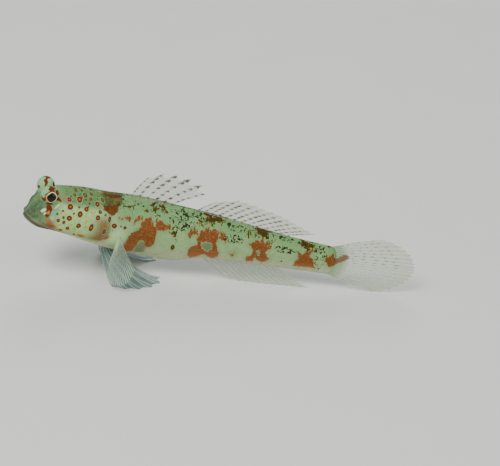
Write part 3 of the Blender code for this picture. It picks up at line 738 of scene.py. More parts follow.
def face_marks(s, angle, straight, points):
    """Marks of the face: depths inside coloured patches in mm, and shares of softer shades.

    A depth is raised by EDGE, so that it is EDGE on a patch's outline and 0 well outside it.
    """
    degrees = np.abs(np.degrees(angle))
    along, across = laid_flat(s, degrees)

    def patch(name):
        """Depth inside the ellipses of one of the face's patches."""
        depth = np.zeros(s.shape)
        for place, turn, half_long, half_high, lean in FACE_PATCHES[name]:
            x = along - place * STANDARD_LENGTH / MM
            y = across - math.radians(turn) * girth_radius(s) / MM
            c, d = math.cos(math.radians(lean)), math.sin(math.radians(lean))
            off = np.hypot((x * c + y * d) / half_long, (y * c - x * d) / half_high)
            inside = np.maximum((1 - off) * min(half_long, half_high), -EDGE)
            depth = np.maximum(depth, EDGE + inside)
        return depth

    brown, mound = np.zeros(s.shape), np.zeros(s.shape)
    for side in (-1, 1):
        away = points - mirrored(MOUND_PLACE, side)
        clock, off_gaze = clock_of(away, side)
        far = np.linalg.norm(away, axis=-1)
        ball = fade(MOUND_RADIUS * 1.02, MOUND_RADIUS * 1.22, far)
        mound = np.maximum(mound, ball * (1 - 0.7 * bump(clock, 190, 50)))
        wavy = clock + 8 * np.sin(np.radians(off_gaze * 8)) + 24 * ease(80, 125, off_gaze)
        arc = far * np.sin(np.radians(off_gaze)) / MM
        for turn, half, first, last in EYE_SECTORS:
            aside = np.radians(half - apart_on_clock(wavy, turn)) * arc
            inside = rounded_least(aside, np.radians(last - off_gaze) * far / MM)
            if first:
                inside = rounded_least(inside, np.radians(off_gaze - first) * far / MM)
            inside = np.minimum(inside, (MOUND_RADIUS * 1.12 - far) / MM)
            brown = np.maximum(brown, EDGE + inside)
    edge = gill_edge(angle)
    mouth = bump(mouth_height(straight), 0, 0.15 * MM)
    mouth *= fade(MOUTH_CORNER * 0.9, MOUTH_CORNER * 1.08, s)
    cheek = ease(0.075, 0.10, s) * fade(0.20, 0.245, s) * ease(34, 56, degrees)
    cheek *= fade(112, 130, degrees)
    cover = bump(s, edge - 0.020, 0.034) * ease(56, 80, degrees) * fade(112, 134, degrees)
    return {
        "mound": mound,
        "brown": np.maximum(brown, patch("brown")),
        "blush": 0.55 * ease(0.0, 1.1, patch("blush")) * (s > 0.06),
        "amber": patch("amber"),
        "cream": patch("cream"),
        "dash": patch("dash"),
        "blue": patch("blue"),
        "red": np.maximum(patch("jaw") - JAW_SMALLER, patch("throat")),
        "cheek": np.maximum(cheek, ease(0.5, 0.7, patch("mouth corner"))),
        "mauve": cover * (s <= edge + 0.001),
        "crown": ease(0.075, 0.11, s) * fade(0.215, 0.235, s) * fade(34, 58, degrees),
        "snout": fade(0.015, 0.105, s) * fade(84, 104, degrees) * ease(-30, 35, degrees),
        "jaw": fade(0.08, 0.15, s) * ease(84, 100, degrees),
        # Where painted shade darkens the mouth line and the nostril holes
        "groove": np.maximum(mouth, bump(nostril_off(s, angle), 0, 0.15)),
    }


def closed_tube_faces(rows, columns):
    """Quads round a tube of rings, and triangles from each end ring to its pole.

    The poles of the first and the last ring are the two points numbered after the rings.
    """
    r, c = np.meshgrid(np.arange(rows - 1), np.arange(columns), indexing="ij")
    n = (c + 1) % columns
    row, under = r * columns, (r + 1) * columns
    quads = np.stack([row + c, row + n, under + n, under + c], axis=-1)
    here = np.arange(columns)
    after, last = np.roll(here, -1), (rows - 1) * columns
    pole = np.full(columns, rows * columns)
    ends = [np.stack([after, here, pole], -1), np.stack([here + last, after + last, pole + 1], -1)]
    return quads.reshape(-1, 4).tolist() + np.concatenate(ends).tolist()


def with_poles(marks):
    """Each mark of a tube's points, and for both poles the mean of the ring beside them."""
    return {
        mark: np.concatenate([values.reshape(-1), [values[0].mean(), values[-1].mean()]])
        for mark, values in marks.items()
    }


def mesh_of(name, points, faces, marks, finish, flip=False):
    """A smooth mesh object from arrays, with each mark as a number on its points."""
    faces = [tuple(face[::-1] if flip else face) for face in faces]
    mesh = bpy.data.meshes.new(name)
    mesh.from_pydata(np.asarray(points).reshape(-1, 3).tolist(), [], faces)
    for mark, values in marks.items():
        layer = mesh.attributes.new(mark, "FLOAT", "POINT")
        layer.data.foreach_set("value", np.asarray(values, np.float32).reshape(-1))
    mesh.shade_smooth()
    mesh.materials.append(finish)
    made = bpy.data.objects.new(name, mesh)
    bpy.context.scene.collection.objects.link(made)
    return made


# The skin's finish
# Wet living skin: pale mint-cream on the flank, greener on the back and cream below, with rusty
# bands that fray upwards along the scale rows, dark flecks, and orange spots ringed in dark red.

FLANK = (0.310, 0.475, 0.210)
BACK = (0.155, 0.305, 0.120)
BELLY = (0.51, 0.525, 0.335)
BAND = (0.195, 0.067, 0.019)
BAND_HEART = (0.300, 0.128, 0.045)
# A lighter copy of the band tone for the lower flank: painted light
BAND_WITH_PAINTED_LIGHT = (0.350, 0.140, 0.052)
OLIVE = (0.060, 0.040, 0.009)
OLIVE_PALE = (0.150, 0.125, 0.024)
WASH = (0.050, 0.056, 0.017)
VEIL = (0.122, 0.118, 0.066)
RUST = (0.066, 0.025, 0.009)
RUST_HEART = (0.100, 0.034, 0.010)
FLECK = (0.029, 0.036, 0.013)
MINT = (0.25, 0.48, 0.23)
RED_BROWN = (0.125, 0.030, 0.008)
AMBER = (0.55, 0.20, 0.02)
CREAM = (0.58, 0.66, 0.44)
BLUE = (0.10, 0.41, 0.46)
JAW_RED = (0.34, 0.062, 0.022)
BLUSH = (0.30, 0.17, 0.105)
BREAST = (0.41, 0.60, 0.28)
CHEEK = (0.37, 0.575, 0.250)
CHEEK_LINES = (0.36, 0.41, 0.062)
CROWN = (0.115, 0.235, 0.088)
CROWN_LINES = (0.095, 0.150, 0.024)
MAUVE = (0.180, 0.115, 0.062)
MAUVE_LINES = (0.25, 0.17, 0.036)
# The snout's tone, partly its own and partly painted shade
SNOUT_WITH_PAINTED_SHADE = (0.068, 0.108, 0.056)
JAW = (0.135, 0.142, 0.084)
# Painted shade for the mouth line and the nostril holes
SHADE_PAINTED_IN_GROOVES = (0.06, 0.035, 0.02)
SPOT_STOPS = (
    (0.00, (0.42, 0.235, 0.008)), (0.28, (0.33, 0.125, 0.007)), (0.46, (0.18, 0.036, 0.006)),
    (0.72, (0.062, 0.012, 0.007)), (0.94, (0.15, 0.10, 0.085)), (1.14, (0.38, 0.46, 0.33)),
)
OLIVE_SPOT_STOPS = (
    (0.00, (0.22, 0.17, 0.012)), (0.40, (0.15, 0.11, 0.010)), (0.62, (0.035, 0.030, 0.010)),
    (0.84, (0.065, 0.055, 0.022)), (1.00, (0.20, 0.26, 0.14)), (1.20, (0.26, 0.34, 0.19)),
)
SPOT_RANGE = 1.5


def mark_of(tree, name):
    """The output of one of the mesh's marks."""
    node = new_node(tree, "Attribute")
    node.attribute_name = name
    return node.outputs["Fac"]


def between(value, low, high):
    """Turns a value into a share: 0 at low and 1 at high."""
    node = new_node(value.id_data, "MapRange", Value=value, From_Min=low, From_Max=high)
    return node.outputs["Result"]


def worked_out(kind, a, b=0.0):
    """A node's output and a number or another output, put through one step of arithmetic."""
    node = new_node(a.id_data, "Math")
    node.operation = kind
    feed(a, node.inputs[0])
    feed(b, node.inputs[1])
    return node.outputs["Value"]


def plus(a, b):
    """The sum of two outputs."""
    return worked_out("ADD", a, b)


def times(a, b):
    """The product of two outputs, or of one and a number."""
    return worked_out("MULTIPLY", a, b)


def swing(field, amount):
    """A noise as a rise and fall of about the amount, round 0."""
    return times(worked_out("SUBTRACT", field, 0.5), 4.0 * amount)


def ramp_of(value, stops, full):
    """The tone at a value on a scale of tones that ends at full."""
    ramp = new_node(value.id_data, "ValToRGB", Fac=worked_out("DIVIDE", value, full))
    made = ramp.color_ramp.elements
    for index, (place, tone) in enumerate(stops):
        stop = made[index] if index < 2 else made.new(place / full)
        stop.position = place / full
        stop.color = (*tone, 1)
    return ramp.outputs["Color"]


def skin_finish():
    """Tones laid one over another by their shares: ground, bands and saddles, then the face."""
    material, tree, shader = new_finish("goby_skin")
    where = place_in(tree)

    def mark(name):
        return mark_of(tree, name)

    def noise(sizes_mm, detail, distortion=0.0):
        """Noise with features of a given size along the fish, across it and upwards."""
        per_metre = tuple(1 / (size * MM) for size in sizes_mm)
        placed = new_node(tree, "Mapping", Vector=where, Rotation=(0, -PITCH, 0), Scale=per_metre)
        return noise_at(placed.outputs["Vector"], 1.0, detail, distortion)

    def ragged(name, field, amount):
        """A mark whose edge a noise moves to and fro by about the amount."""
        return plus(mark(name), swing(field, amount))

    clouds = noise((3.0, 3.0, 3.0), 3.0)
    mottle = noise((0.8, 0.8, 0.8), 2.0)
    streaks = noise((0.55, 1.8, 1.8), 2.0, 0.4)
    crumbs = noise((0.42, 0.42, 0.42), 1.0)
    dashes = noise((0.80, 0.95, 1.05), 1.0, 1.4)
    worms = noise((0.85, 0.85, 0.85), 0.0, 0.8)
    grain = noise((0.19, 0.19, 0.19), 2.0)

    # The ground: a darker mottled snout, partly its own tone and partly painted shade, and yellow-green
    # lines that wind over the cheek and the crown
    lines = between(worked_out("ABSOLUTE", worked_out("SUBTRACT", worms, 0.5)), 0.062, 0.034)
    snout = over(SNOUT_WITH_PAINTED_SHADE, scaled(SNOUT_WITH_PAINTED_SHADE, 1.5), between(mottle, 0.44, 0.60))
    wash = ragged("wash", mottle, 0.30)
    ground = [
        (BACK, ragged("back", clouds, 0.22)),
        (BELLY, mark("belly")),
        (scaled(FLANK, 0.72), times(between(mottle, 0.48, 0.66), 0.35)),
        (snout, mark("snout")),
        (JAW, mark("jaw")),
        (VEIL, times(mark("veil"), 0.75)),
        (over(CHEEK, CHEEK_LINES, lines), mark("cheek")),
        (over(CROWN, CROWN_LINES, lines), mark("crown")),
        (over(WASH, OLIVE_PALE, lines), times(between(wash, 0.25, 1.15), 0.95)),
        (over(MAUVE, MAUVE_LINES, lines), mark("mauve")),
        (scaled(FLANK, 0.55), times(mark("rim"), 0.40)),
    ]

    # Bands, saddles and flecks: their edges are moved by noise, the more the higher on the flank
    fraying = times(swing(streaks, 0.85), mark("fray"))
    band = plus(plus(mark("band"), fraying), swing(crumbs, 0.12))
    heart = between(plus(crumbs, times(mark("rim"), -0.2)), 0.50, 0.64)
    # Towards the belly the bands take the lighter tone, painted light that lifts the shade low on the
    # flank
    banded = over(over(BAND, BAND_HEART, heart), BAND_WITH_PAINTED_LIGHT, mark("belly"))
    olive = plus(plus(mark("olive"), times(fraying, 0.6)), swing(crumbs, 0.25))
    olive = plus(olive, swing(dashes, 0.75))
    rust = ragged("rust", crumbs, 0.18)
    rusty = over(RUST_HEART, scaled(RUST_HEART, 1.6), between(mottle, 0.42, 0.60))
    rusty = over(RUST, rusty, between(mark("back"), 1.04, 0.84))
    strewn = plus(dashes, times(worked_out("SUBTRACT", mark("fleck"), 1.0), 0.30))
    bands = [
        (banded, between(band, -0.03, 0.06)),
        (OLIVE_PALE, between(olive, -0.06, 0.06)),
        (OLIVE, between(olive, 0.20, 0.34)),
        (rusty, between(rust, -0.14, 0.04)),
        (FLECK, times(between(strewn, 0.520, 0.544), between(mark("fleck"), 0.02, 0.10))),
    ]

    # The face: soft shades, the ringed spots, patches with an edge, and painted shade in the mouth line
    # and the nostrils
    spot = ragged("spot", crumbs, 0.07)
    olive_rings = ramp_of(spot, OLIVE_SPOT_STOPS, SPOT_RANGE)
    rings = over(ramp_of(spot, SPOT_STOPS, SPOT_RANGE), olive_rings, mark("dull"))
    blue = ragged("blue", crumbs, 0.10)
    brown = ragged("brown", crumbs, 0.05)
    cream = worked_out("MAXIMUM", mark("cream"), mark("dash"))
    face = [
        (BREAST, mark("breast")),
        (BLUSH, mark("blush")),
        (MINT, mark("mound")),
        (rings, between(spot, 1.26, 0.98)),
        (JAW_RED, times(between(mark("red"), EDGE - 0.20, EDGE + 0.30), 0.82)),
        (BLUE, between(blue, EDGE - 0.10, EDGE + 0.14)),
        (RED_BROWN, between(brown, EDGE - 0.05, EDGE + 0.08)),
        (AMBER, between(mark("amber"), EDGE - 0.08, EDGE + 0.12)),
        (CREAM, between(cream, EDGE - 0.05, EDGE + 0.07)),
        # Painted shade in the mouth line and the nostrils
        (SHADE_PAINTED_IN_GROOVES, times(mark("groove"), 0.9)),
    ]
    colour = FLANK
    for tone, share in ground + bands + face:
        colour = over(colour, tone, share)

    # About half rough, a little uneven, with a fine low grain
    raised = new_node(tree, "Bump", Height=grain, Strength=0.25, Distance=0.12 * MM)
    feed_all(
        shader, Base_Color=colour, Roughness=between(grain, -1.3, 2.1),
        Normal=raised.outputs["Normal"], Subsurface_Weight=0.10,
        Subsurface_Radius=(1.0 * MM, 0.7 * MM, 0.4 * MM), Specular_IOR_Level=0.02,
    )
    return material


def skin(finish):
    """The whole skin as one closed surface, with a point at the snout and one at the tail.

    The painted shade of the mouth line runs through the point at the snout too.
    """
    s, angle = skin_grid()
    points = straight_skin(s, angle)
    marks = {**markings(s, angle), "rim": np.zeros(s.shape)}
    marks.update(face_marks(s, angle, body_point(s, angle), points))
    poles = np.array([points[0].mean(axis=0), points[-1].mean(axis=0)])
    everything = np.concatenate([stance(points).reshape(-1, 3), stance(poles)])
    numbers = with_poles(marks)
    numbers["groove"][-2] = marks["groove"][0].max()
    return mesh_of("skin", everything, closed_tube_faces(*s.shape), numbers, finish)


SKIN_FINISH = skin_finish()
body_skin = skin(SKIN_FINISH)
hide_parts("head", "trunk", "tail")
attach(body_skin, "root")


# The eyes
# Large round eyeballs set in the mounds: a dark domed lens, a raised cream-gold ring round it,
# orange towards the snout, and an iris in mint and red-brown wedges like the skin around it.

PUPIL, RING = 1.09 * MM, 1.40 * MM
LENS_RISE, RING_RISE = 0.05 * MM, 0.05 * MM
EYE_LOOSE = 0.03 * MM
EYE_STOPS = (
    (0.00, (0.003, 0.007, 0.004)), (1.06, (0.004, 0.008, 0.005)), (1.10, (0.34, 0.12, 0.02)),
    (1.15, (0.82, 0.84, 0.40)), (1.24, (0.80, 0.78, 0.32)), (1.29, (0.34, 0.11, 0.02)),
    (1.34, (0.035, 0.012, 0.006)),
)
EYE_RANGE = 2.2
RING_ORANGE = (0.62, 0.15, 0.02)
IRIS_STREAKS_PER_METRE = 2600


def sector_share(clock):
    """1 inside the red-brown sectors of the eye and 0 between them, at degrees from the top."""
    near = [(turn, half) for turn, half, first, _ in EYE_SECTORS if first == 0]
    apart = np.min([apart_on_clock(clock, turn) - half for turn, half in near], axis=0)
    return fade(-4, 5, apart)


def eye_finish():
    """Wet gloss over lens and ring, toned by distance from the gaze, and the iris outside them."""
    material, tree, shader = new_finish("goby_eye")
    feed_all(
        shader, Roughness=0.16, Specular_IOR_Level=0.15, Coat_Weight=0.18, Coat_Roughness=0.04,
    )
    radial = mark_of(tree, "radial")
    mint = over(MINT, scaled(MINT, 0.8), noise_at(place_in(tree), IRIS_STREAKS_PER_METRE))
    iris = over(mint, RED_BROWN, mark_of(tree, "brown"))
    ring = over(ramp_of(radial, EYE_STOPS, EYE_RANGE), RING_ORANGE, mark_of(tree, "orange"))
    outside = between(radial, RING / MM, RING / MM + 0.10)
    feed(over(ring, iris, outside), shader.inputs["Base Color"])
    return material


def eyeball(name, side, finish, rows=56, columns=96):
    """A ball in polar rings round the gaze: a domed lens, a raised ring, and the plain ball behind.

    The pupil's edge is a slightly squared oval, so the rings' distance from the gaze is stretched
    by a small cosine of twice and four times the clock angle.
    """
    gaze, up, back = eye_axes(side)
    polar = math.pi * np.linspace(0.0, 1, rows + 2)[1:-1, None] ** 1.15
    clock = np.arange(columns) * 2 * math.pi / columns
    flat = np.where(polar < math.pi / 2, EYE_RADIUS * np.sin(polar), EYE_RADIUS * (2 - np.sin(polar)))
    oval = 1 + 0.05 * np.cos(2 * (clock - 0.5)) + 0.045 * np.cos(4 * clock)
    radial = flat / (1 + (oval - 1) * fade(PUPIL, 1.5 * MM, flat))
    rise = LENS_RISE * fade(PUPIL * 0.5, PUPIL, radial)
    rise = rise + RING_RISE * bump(radial, (PUPIL + RING) / 2, 0.2 * MM)
    reach = EYE_RADIUS - EYE_LOOSE + rise
    ring = np.cos(clock)[:, None] * up + np.sin(clock)[:, None] * back
    points = (np.cos(polar)[..., None] * gaze + np.sin(polar)[..., None] * ring) * reach[..., None]
    poles = np.array([gaze * (EYE_RADIUS + LENS_RISE - EYE_LOOSE), -gaze * EYE_RADIUS])
    centre = mirrored(MOUND_PLACE, side) + gaze * EYE_OUT
    everything = np.concatenate([points.reshape(-1, 3), poles]) + centre
    degrees = np.degrees(clock) % 360 + 0 * polar
    on_ring = ease(1.06 * MM, 1.10 * MM, radial) * fade(1.24 * MM, 1.32 * MM, radial)
    marks = {
        "radial": radial / MM,
        "brown": sector_share(degrees),
        "orange": 0.85 * bump(degrees, 250, 50) * on_ring,
    }
    faces = closed_tube_faces(rows, columns)
    return mesh_of(name, stance(everything), faces, with_poles(marks), finish, flip=side < 0)


EYE_FINISH = eye_finish()
for eye_name, eye_side in (("eye_left", -1), ("eye_right", 1)):
    ball = eyeball(eye_name + "_ball", eye_side, EYE_FINISH)
    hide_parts(eye_name)
    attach(ball, "root")

# The scales
# Small thin plates in slanting rows behind the gill covers, each tucked under the one in front.
# A plate takes half of its bands and saddles from its own middle and half from the skin under it,
# so that their edges step from plate to plate, and its rear edge is a little darker.

SCALE_FROM, SCALE_TO = 0.282, 1.012
SCALE_STEP = 0.60 * MM
SCALE_WIDTH, SCALE_LENGTH = 0.70 * MM, 1.10 * MM
SCALE_LIFT, SCALE_ROOT, SCALE_BOW = 0.035 * MM, 0.06 * MM, 0.10
SCALE_ROWS_APART = 0.88
SCALE_ROWS_UP_AND_DOWN = 20
BEHIND_GILL, BEHIND_NAPE = 0.016, 0.03
FLANK_REACH = 14 * MM
SCALE_ALONG = np.array([0.0, 0.45, 0.82, 1.0])
SCALE_SHARE = np.array([0.60, 1.0, 0.80, 0.36])
SCALE_ACROSS = np.linspace(-1, 1, 5)


def flank_angles():
    """Angles at which each distance round the body from the mid flank is reached, along the body."""
    places = np.linspace(SCALE_FROM - 0.02, SKIN_END - 0.004, 130)
    angles = np.linspace(0, math.pi, 241)
    ring = body_point(places[:, None], angles)
    steps = np.linalg.norm(np.diff(ring, axis=1), axis=-1)
    arc = np.concatenate([np.zeros((len(places), 1)), np.cumsum(steps, axis=1)], axis=1)
    arc -= arc[:, len(angles) // 2, None]
    reach = np.linspace(-FLANK_REACH, FLANK_REACH, 281)
    table = np.array([np.interp(reach, row, angles) for row in arc])
    return places, reach, table, arc[:, 0], arc[:, -1]


def sample_table(places, reach, table, s, v):
    """The table's value between its even steps, in straight lines both ways."""
    i = np.clip((s - places[0]) / (places[1] - places[0]), 0, len(places) - 1.001)
    j = np.clip((v - reach[0]) / (reach[1] - reach[0]), 0, len(reach) - 1.001)
    a, b = i.astype(int), j.astype(int)
    f, g = i - a, j - b
    low = table[a, b] * (1 - g) + table[a, b + 1] * g
    high = table[a + 1, b] * (1 - g) + table[a + 1, b + 1] * g
    return low * (1 - f) + high * f


def scale_roots():
    """Centres of the plates: place along the body and distance round it, in staggered rows."""
    places, reach, table, top, bottom = flank_angles()
    columns = np.arange(SCALE_FROM, SCALE_TO, SCALE_STEP / STANDARD_LENGTH)
    rows = np.arange(-SCALE_ROWS_UP_AND_DOWN, SCALE_ROWS_UP_AND_DOWN + 1)
    rows = rows * SCALE_WIDTH * SCALE_ROWS_APART
    s, v = np.meshgrid(columns, rows, indexing="ij")
    v = v + (np.arange(len(columns)) % 2)[:, None] * SCALE_WIDTH * SCALE_ROWS_APART / 2
    s, v = s.ravel(), v.ravel()
    angle = sample_table(places, reach, table, s, v)
    inside = (v > np.interp(s, places, top)) & (v < np.interp(s, places, bottom))
    behind = s > gill_edge(angle) + BEHIND_GILL + BEHIND_NAPE * ease(30, 4, np.degrees(angle))
    keep = inside & behind
    return s[keep], v[keep]


def sheet_faces(rows, columns):
    """Faces over a grid, those down from its rim to a like grid under it, and its rim in order."""
    r, c = np.meshgrid(np.arange(rows - 1), np.arange(columns - 1), indexing="ij")
    corner = (r * columns + c).ravel()
    front = np.stack([corner, corner + 1, corner + columns + 1, corner + columns], axis=-1)
    grid = np.arange(rows * columns).reshape(rows, columns)
    rim = np.concatenate([grid[0], grid[1:, -1], grid[-1, -2::-1], grid[-2:0:-1, 0]])
    after, under = np.roll(rim, -1), rows * columns
    wall = np.stack([rim, rim + under, after + under, after], axis=-1)
    return front, wall, rim


def scales(name, side, finish):
    """Every plate of one flank, as one mesh of closed plates.

    A plate is a grid of 4 places along it by 5 across, laid on the skin: widest near its middle,
    rounded behind, its front sunk in the skin and its rear raised, over a flat underside. It has
    the skin's finish and none of the face's marks.
    """
    places, reach, table, _, _ = flank_angles()
    s0, v0 = scale_roots()
    rows, columns = len(SCALE_ALONG), len(SCALE_ACROSS)
    long = SCALE_LENGTH / STANDARD_LENGTH
    along = (SCALE_ALONG[:, None] - 0.5) * long + 0 * SCALE_ACROSS
    along = along - SCALE_BOW * long * SCALE_ACROSS**2 * SCALE_ALONG[:, None]
    across = SCALE_SHARE[:, None] * SCALE_ACROSS * SCALE_WIDTH / 2
    lift = SCALE_LIFT * ease(0.0, 0.6, SCALE_ALONG)[:, None] * (1 - 0.5 * SCALE_ACROSS**2)
    lift = lift - SCALE_ROOT * fade(0.0, 0.35, SCALE_ALONG)[:, None]
    s = s0[:, None, None] + along
    angle = sample_table(places, reach, table, s, v0[:, None, None] + across) * side
    s = np.minimum(s, SKIN_END - 0.002)
    surface, normal = body_point(s, angle), body_normal(s, angle)
    surface = surface + normal * head_relief(s, angle, surface)[..., None]
    top = surface + normal * lift[..., None]
    under = surface - normal * SCALE_ROOT
    points = stance(np.concatenate([top, under], axis=1))
    count, size = len(s0), rows * columns
    plate, wall, rim = sheet_faces(rows, columns)
    steps = (np.arange(count) * 2 * size)[:, None, None]
    quads = (np.concatenate([plate, wall]) + steps).reshape(-1, 4)
    floors = rim[::-1] + size + steps[:, 0]
    faces = quads.tolist() + floors.tolist()

    seen = s0 + 0.22 * long
    seen_angle = sample_table(places, reach, table, seen, v0) * side
    whole, smooth = markings(seen, seen_angle), markings(s, angle)
    smooth["rim"] = ease(0.70, 1.0, SCALE_ALONG)[:, None] + 0 * s
    marks = {}
    for mark, values in smooth.items():
        if mark in ("band", "olive"):
            values = (values + whole[mark][:, None, None]) / 2
        values = values.reshape(count, size)
        marks[mark] = np.concatenate([values, values], axis=1)
    piece = mesh_of(name, points, faces, marks, finish, flip=side < 0)
    # Each plate has a small patch of the map to itself, placed by where its root is on the body
    unwrap = piece.data.uv_layers.new(name="OFBake")
    local = np.stack([along / long, across / SCALE_WIDTH], axis=-1).reshape(1, size, 2)
    root = np.stack([0.05 + 0.88 * s0, 0.5 + 0.47 * seen_angle / math.pi], axis=-1)[:, None]
    spots = np.concatenate([root + local * 0.003] * 2, axis=1).reshape(-1, 2)
    loops = np.empty(len(piece.data.loops), np.int32)
    piece.data.loops.foreach_get("vertex_index", loops)
    unwrap.data.foreach_set("uv", spots[loops].astype(np.float32).ravel())
    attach(piece, "root")
    return piece


scales("scales_left", -1, SKIN_FINISH)
scales("scales_right", 1, SKIN_FINISH)


# The fins of the middle line
# Two fins on the back, one under the tail stalk and the tail fin: clear greenish membrane on fine
# pale rays, which fork towards their tips, with dark dashes along the rays of the back fins.

GAP = 0.3 * MM
MEMBRANE = 0.10 * MM
RAY_ROOT, RAY_TIP = 0.30 * MM, 0.14 * MM
LIE_DOWN = 2 * MM
FORK_FROM = 0.42
JOINTS_A_RAY = 34
SUNK = 0.35 * MM
FIN_CLOUDS_PER_METRE = 420
DASH_SHIFT, DASH_HALF_WIDTH, DASH_SHARE = 0.022, 0.20, 0.92


def ray_ridge(u, v, width, fork):
    """How far a point is up the nearest ray, 0 to 1: a bell across the ray, two where it forks.

    u counts rays across the fin and v runs from root to tip. The ray is a little thicker at each
    of its joints.
    """
    off = u - np.round(u)
    spread = fork * ease(FORK_FROM, 1.0, v)
    bell = np.maximum(bump(off, spread, width), bump(off, -spread, width))
    return bell * (1 + 0.10 * np.sin(2 * math.pi * JOINTS_A_RAY * v) * ease(0.25, 0.35, v))


def fin_sheet(name, curves, finish, marks_of, scallop, root_thick, root_reach, steps=8, width=0.10,
              fork=0.13, rest=None):
    """A closed sheet through a fin's rays, thicker along each ray and at its root.

    A place between two rays is on the straight line between them, with some steps from ray to
    ray, and the edge dips by scallop there. Both faces lie half the thickness from the middle,
    along its normal. A fin that rests on its edge is cut off level at the floor, and a flat one
    also lies down along it.
    """
    rays, rows = curves.shape[:2]
    u, v = np.linspace(0, rays - 1, (rays - 1) * steps + 1), np.linspace(0, 1, rows)
    low = np.clip(np.floor(u).astype(int), 0, rays - 2)
    share = (u - low)[:, None]
    reach = v * (1 - scallop * np.sin(math.pi * share) ** 2)
    step = np.minimum((reach * (rows - 1)).astype(int), rows - 2)
    part = (reach * (rows - 1) - step)[..., None]
    first, second = (
        curves[ray, step] * (1 - part) + curves[ray, step + 1] * part
        for ray in (low[:, None], low[:, None] + 1)
    )
    middle = first * (1 - share[..., None]) + second * share[..., None]
    uu, vv = np.broadcast_arrays(u[:, None], v)
    ray = ray_ridge(uu, vv, width, fork)
    root = np.clip(1 - vv / root_reach, 0, 1) ** 2
    thick = MEMBRANE + ray * (RAY_ROOT + (RAY_TIP - RAY_ROOT) * vv)
    thick = (thick + (root_thick - thick) * root) * np.where(vv > 0.985, 0.5, 1.0)
    normal = unit(np.cross(np.gradient(middle, axis=0), np.gradient(middle, axis=1)))
    if rest == "flat":
        middle[..., 2] = np.maximum(middle[..., 2], thick / 2)
        lie = np.clip((middle[..., 2] - thick / 2) / LIE_DOWN, 0, 1)[..., None]
        flat = np.array([0.0, 0.0, 1.0]) * np.sign(normal[..., 2:3].mean())
        normal = unit(normal * lie + flat * (1 - lie))
    near = middle - normal * thick[..., None] / 2
    far = middle + normal * thick[..., None] / 2
    points = np.concatenate([near.reshape(-1, 3), far.reshape(-1, 3)])
    if rest:
        points[:, 2] = np.maximum(points[:, 2], 0.0)
    front, wall, _ = sheet_faces(len(u), rows)
    faces = np.concatenate([front, front[:, ::-1] + len(u) * rows, wall])
    marks = {"ray": ray, "flesh": root, **marks_of(uu, vv, ray)}
    doubled = {k: np.concatenate([np.ravel(m), np.ravel(m)]) for k, m in marks.items()}
    a, b, c = points[faces[:, :3]].transpose(1, 0, 2)
    facing_out = np.einsum("ij,ij->", a - points.mean(axis=0), np.cross(b - a, c - a))
    piece = mesh_of(name, points, faces.tolist(), doubled, finish, flip=facing_out < 0)
    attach(piece, "root")
    return piece


def ray_curves(roots, directions, lengths, bends, rows):
    """Rays as curves: each leaves its root along a direction and bends as the square of v."""
    v = np.linspace(0, 1, rows)[None, :, None]
    course = unit(directions)[:, None] * v + bends[:, None] * v * v
    return roots[:, None] + course * np.asarray(lengths)[:, None, None]


def along_root(pairs, count):
    """Values at count even steps along a fin's root, on straight lines through a few of them."""
    places, values = np.array(pairs, float).T
    return np.interp(np.linspace(0, 1, count), places, values)


def fin_finish(name, membrane, ray_tone, dash_tone, flesh_tone, clear, ray_cover):
    """Wet translucent fin: clear between the rays, closer over the rays, dashes and fleshy root."""
    material, tree, shader = new_finish(name)
    ray, dash, flesh, stain = (mark_of(tree, mark) for mark in ("ray", "dash", "flesh", "stain"))
    clouds = noise_at(place_in(tree), FIN_CLOUDS_PER_METRE, 3.0)
    tone = over(membrane, scaled(membrane, 0.72), clouds)
    for laid, share in ((ray_tone, ray), (flesh_tone, flesh), (BAND, stain), (dash_tone, dash)):
        tone = over(tone, laid, share)
    cover = clear
    for laid, share in ((ray_cover, ray), (0.95, stain), (0.95, dash), (1.0, flesh)):
        cover = over(cover, laid, share, "FLOAT")
    feed_all(shader, Base_Color=tone, Alpha=cover)
    feed_all(shader, Roughness=0.32, Coat_Weight=0.25, Coat_Roughness=0.15)
    return material


def dashes_along(rows_at, length, phase):
    """Marks for a fin whose rays carry dark dashes: at a few heights, shifted from ray to ray."""
    def marks(u, v, ray):
        number = np.round(u)
        dash = np.zeros(u.shape)
        for i, height in enumerate(rows_at):
            shift = DASH_SHIFT * np.sin(2.4 * number + phase + 1.7 * i)
            long = length * (1 + 0.35 * np.sin(5.1 * number + i))
            off = np.hypot((v - height - shift) / long, (u - number) / DASH_HALF_WIDTH)
            dash = np.maximum(dash, fade(0.75, 1.15, off))
        return {"dash": dash * DASH_SHARE, "stain": np.zeros(u.shape)}
    return marks


def plain_marks(u, v, ray):
    """Marks for a fin with no pattern."""
    return {"dash": np.zeros(u.shape), "stain": np.zeros(u.shape)}


CLEAR_FIN = fin_finish(
    "clear_fin", membrane=(0.46, 0.55, 0.38), ray_tone=(0.62, 0.66, 0.46),
    dash_tone=(0.095, 0.024, 0.010), flesh_tone=(0.34, 0.46, 0.26), clear=0.20, ray_cover=0.68,
)
FRONT_DORSAL = {
    "start": 0.322, "end": 0.455, "rays": 6, "up": 1, "scallop": 0.16, "bend": (0.16, -0.06),
    "lengths": [(0, 6.8 * MM), (0.2, 9.0 * MM), (0.6, 10.4 * MM), (0.8, 10.2 * MM), (1, 8.2 * MM)],
    "leans": [(0, 17), (0.2, 21), (0.6, 34), (1, 49)],
}
REAR_DORSAL = {
    "start": 0.54, "end": 0.83, "rays": 13, "up": 1, "scallop": 0.06, "bend": (0.06, -0.05),
    "lengths": [(0, 5.2 * MM), (0.15, 7.6 * MM), (0.6, 8.2 * MM), (1, 7.2 * MM)],
    "leans": [(0, 44), (0.2, 43), (0.5, 53), (1, 72)],
}
ANAL = {
    "start": 0.592, "end": 0.83, "rays": 13, "up": -1, "scallop": 0.06, "bend": (0.10, -0.06),
    "lengths": [(0, 6.5 * MM), (0.15, 8.6 * MM), (0.7, 9.0 * MM), (1, 9.6 * MM)],
    "leans": [(0, 46), (1, 58)],
}


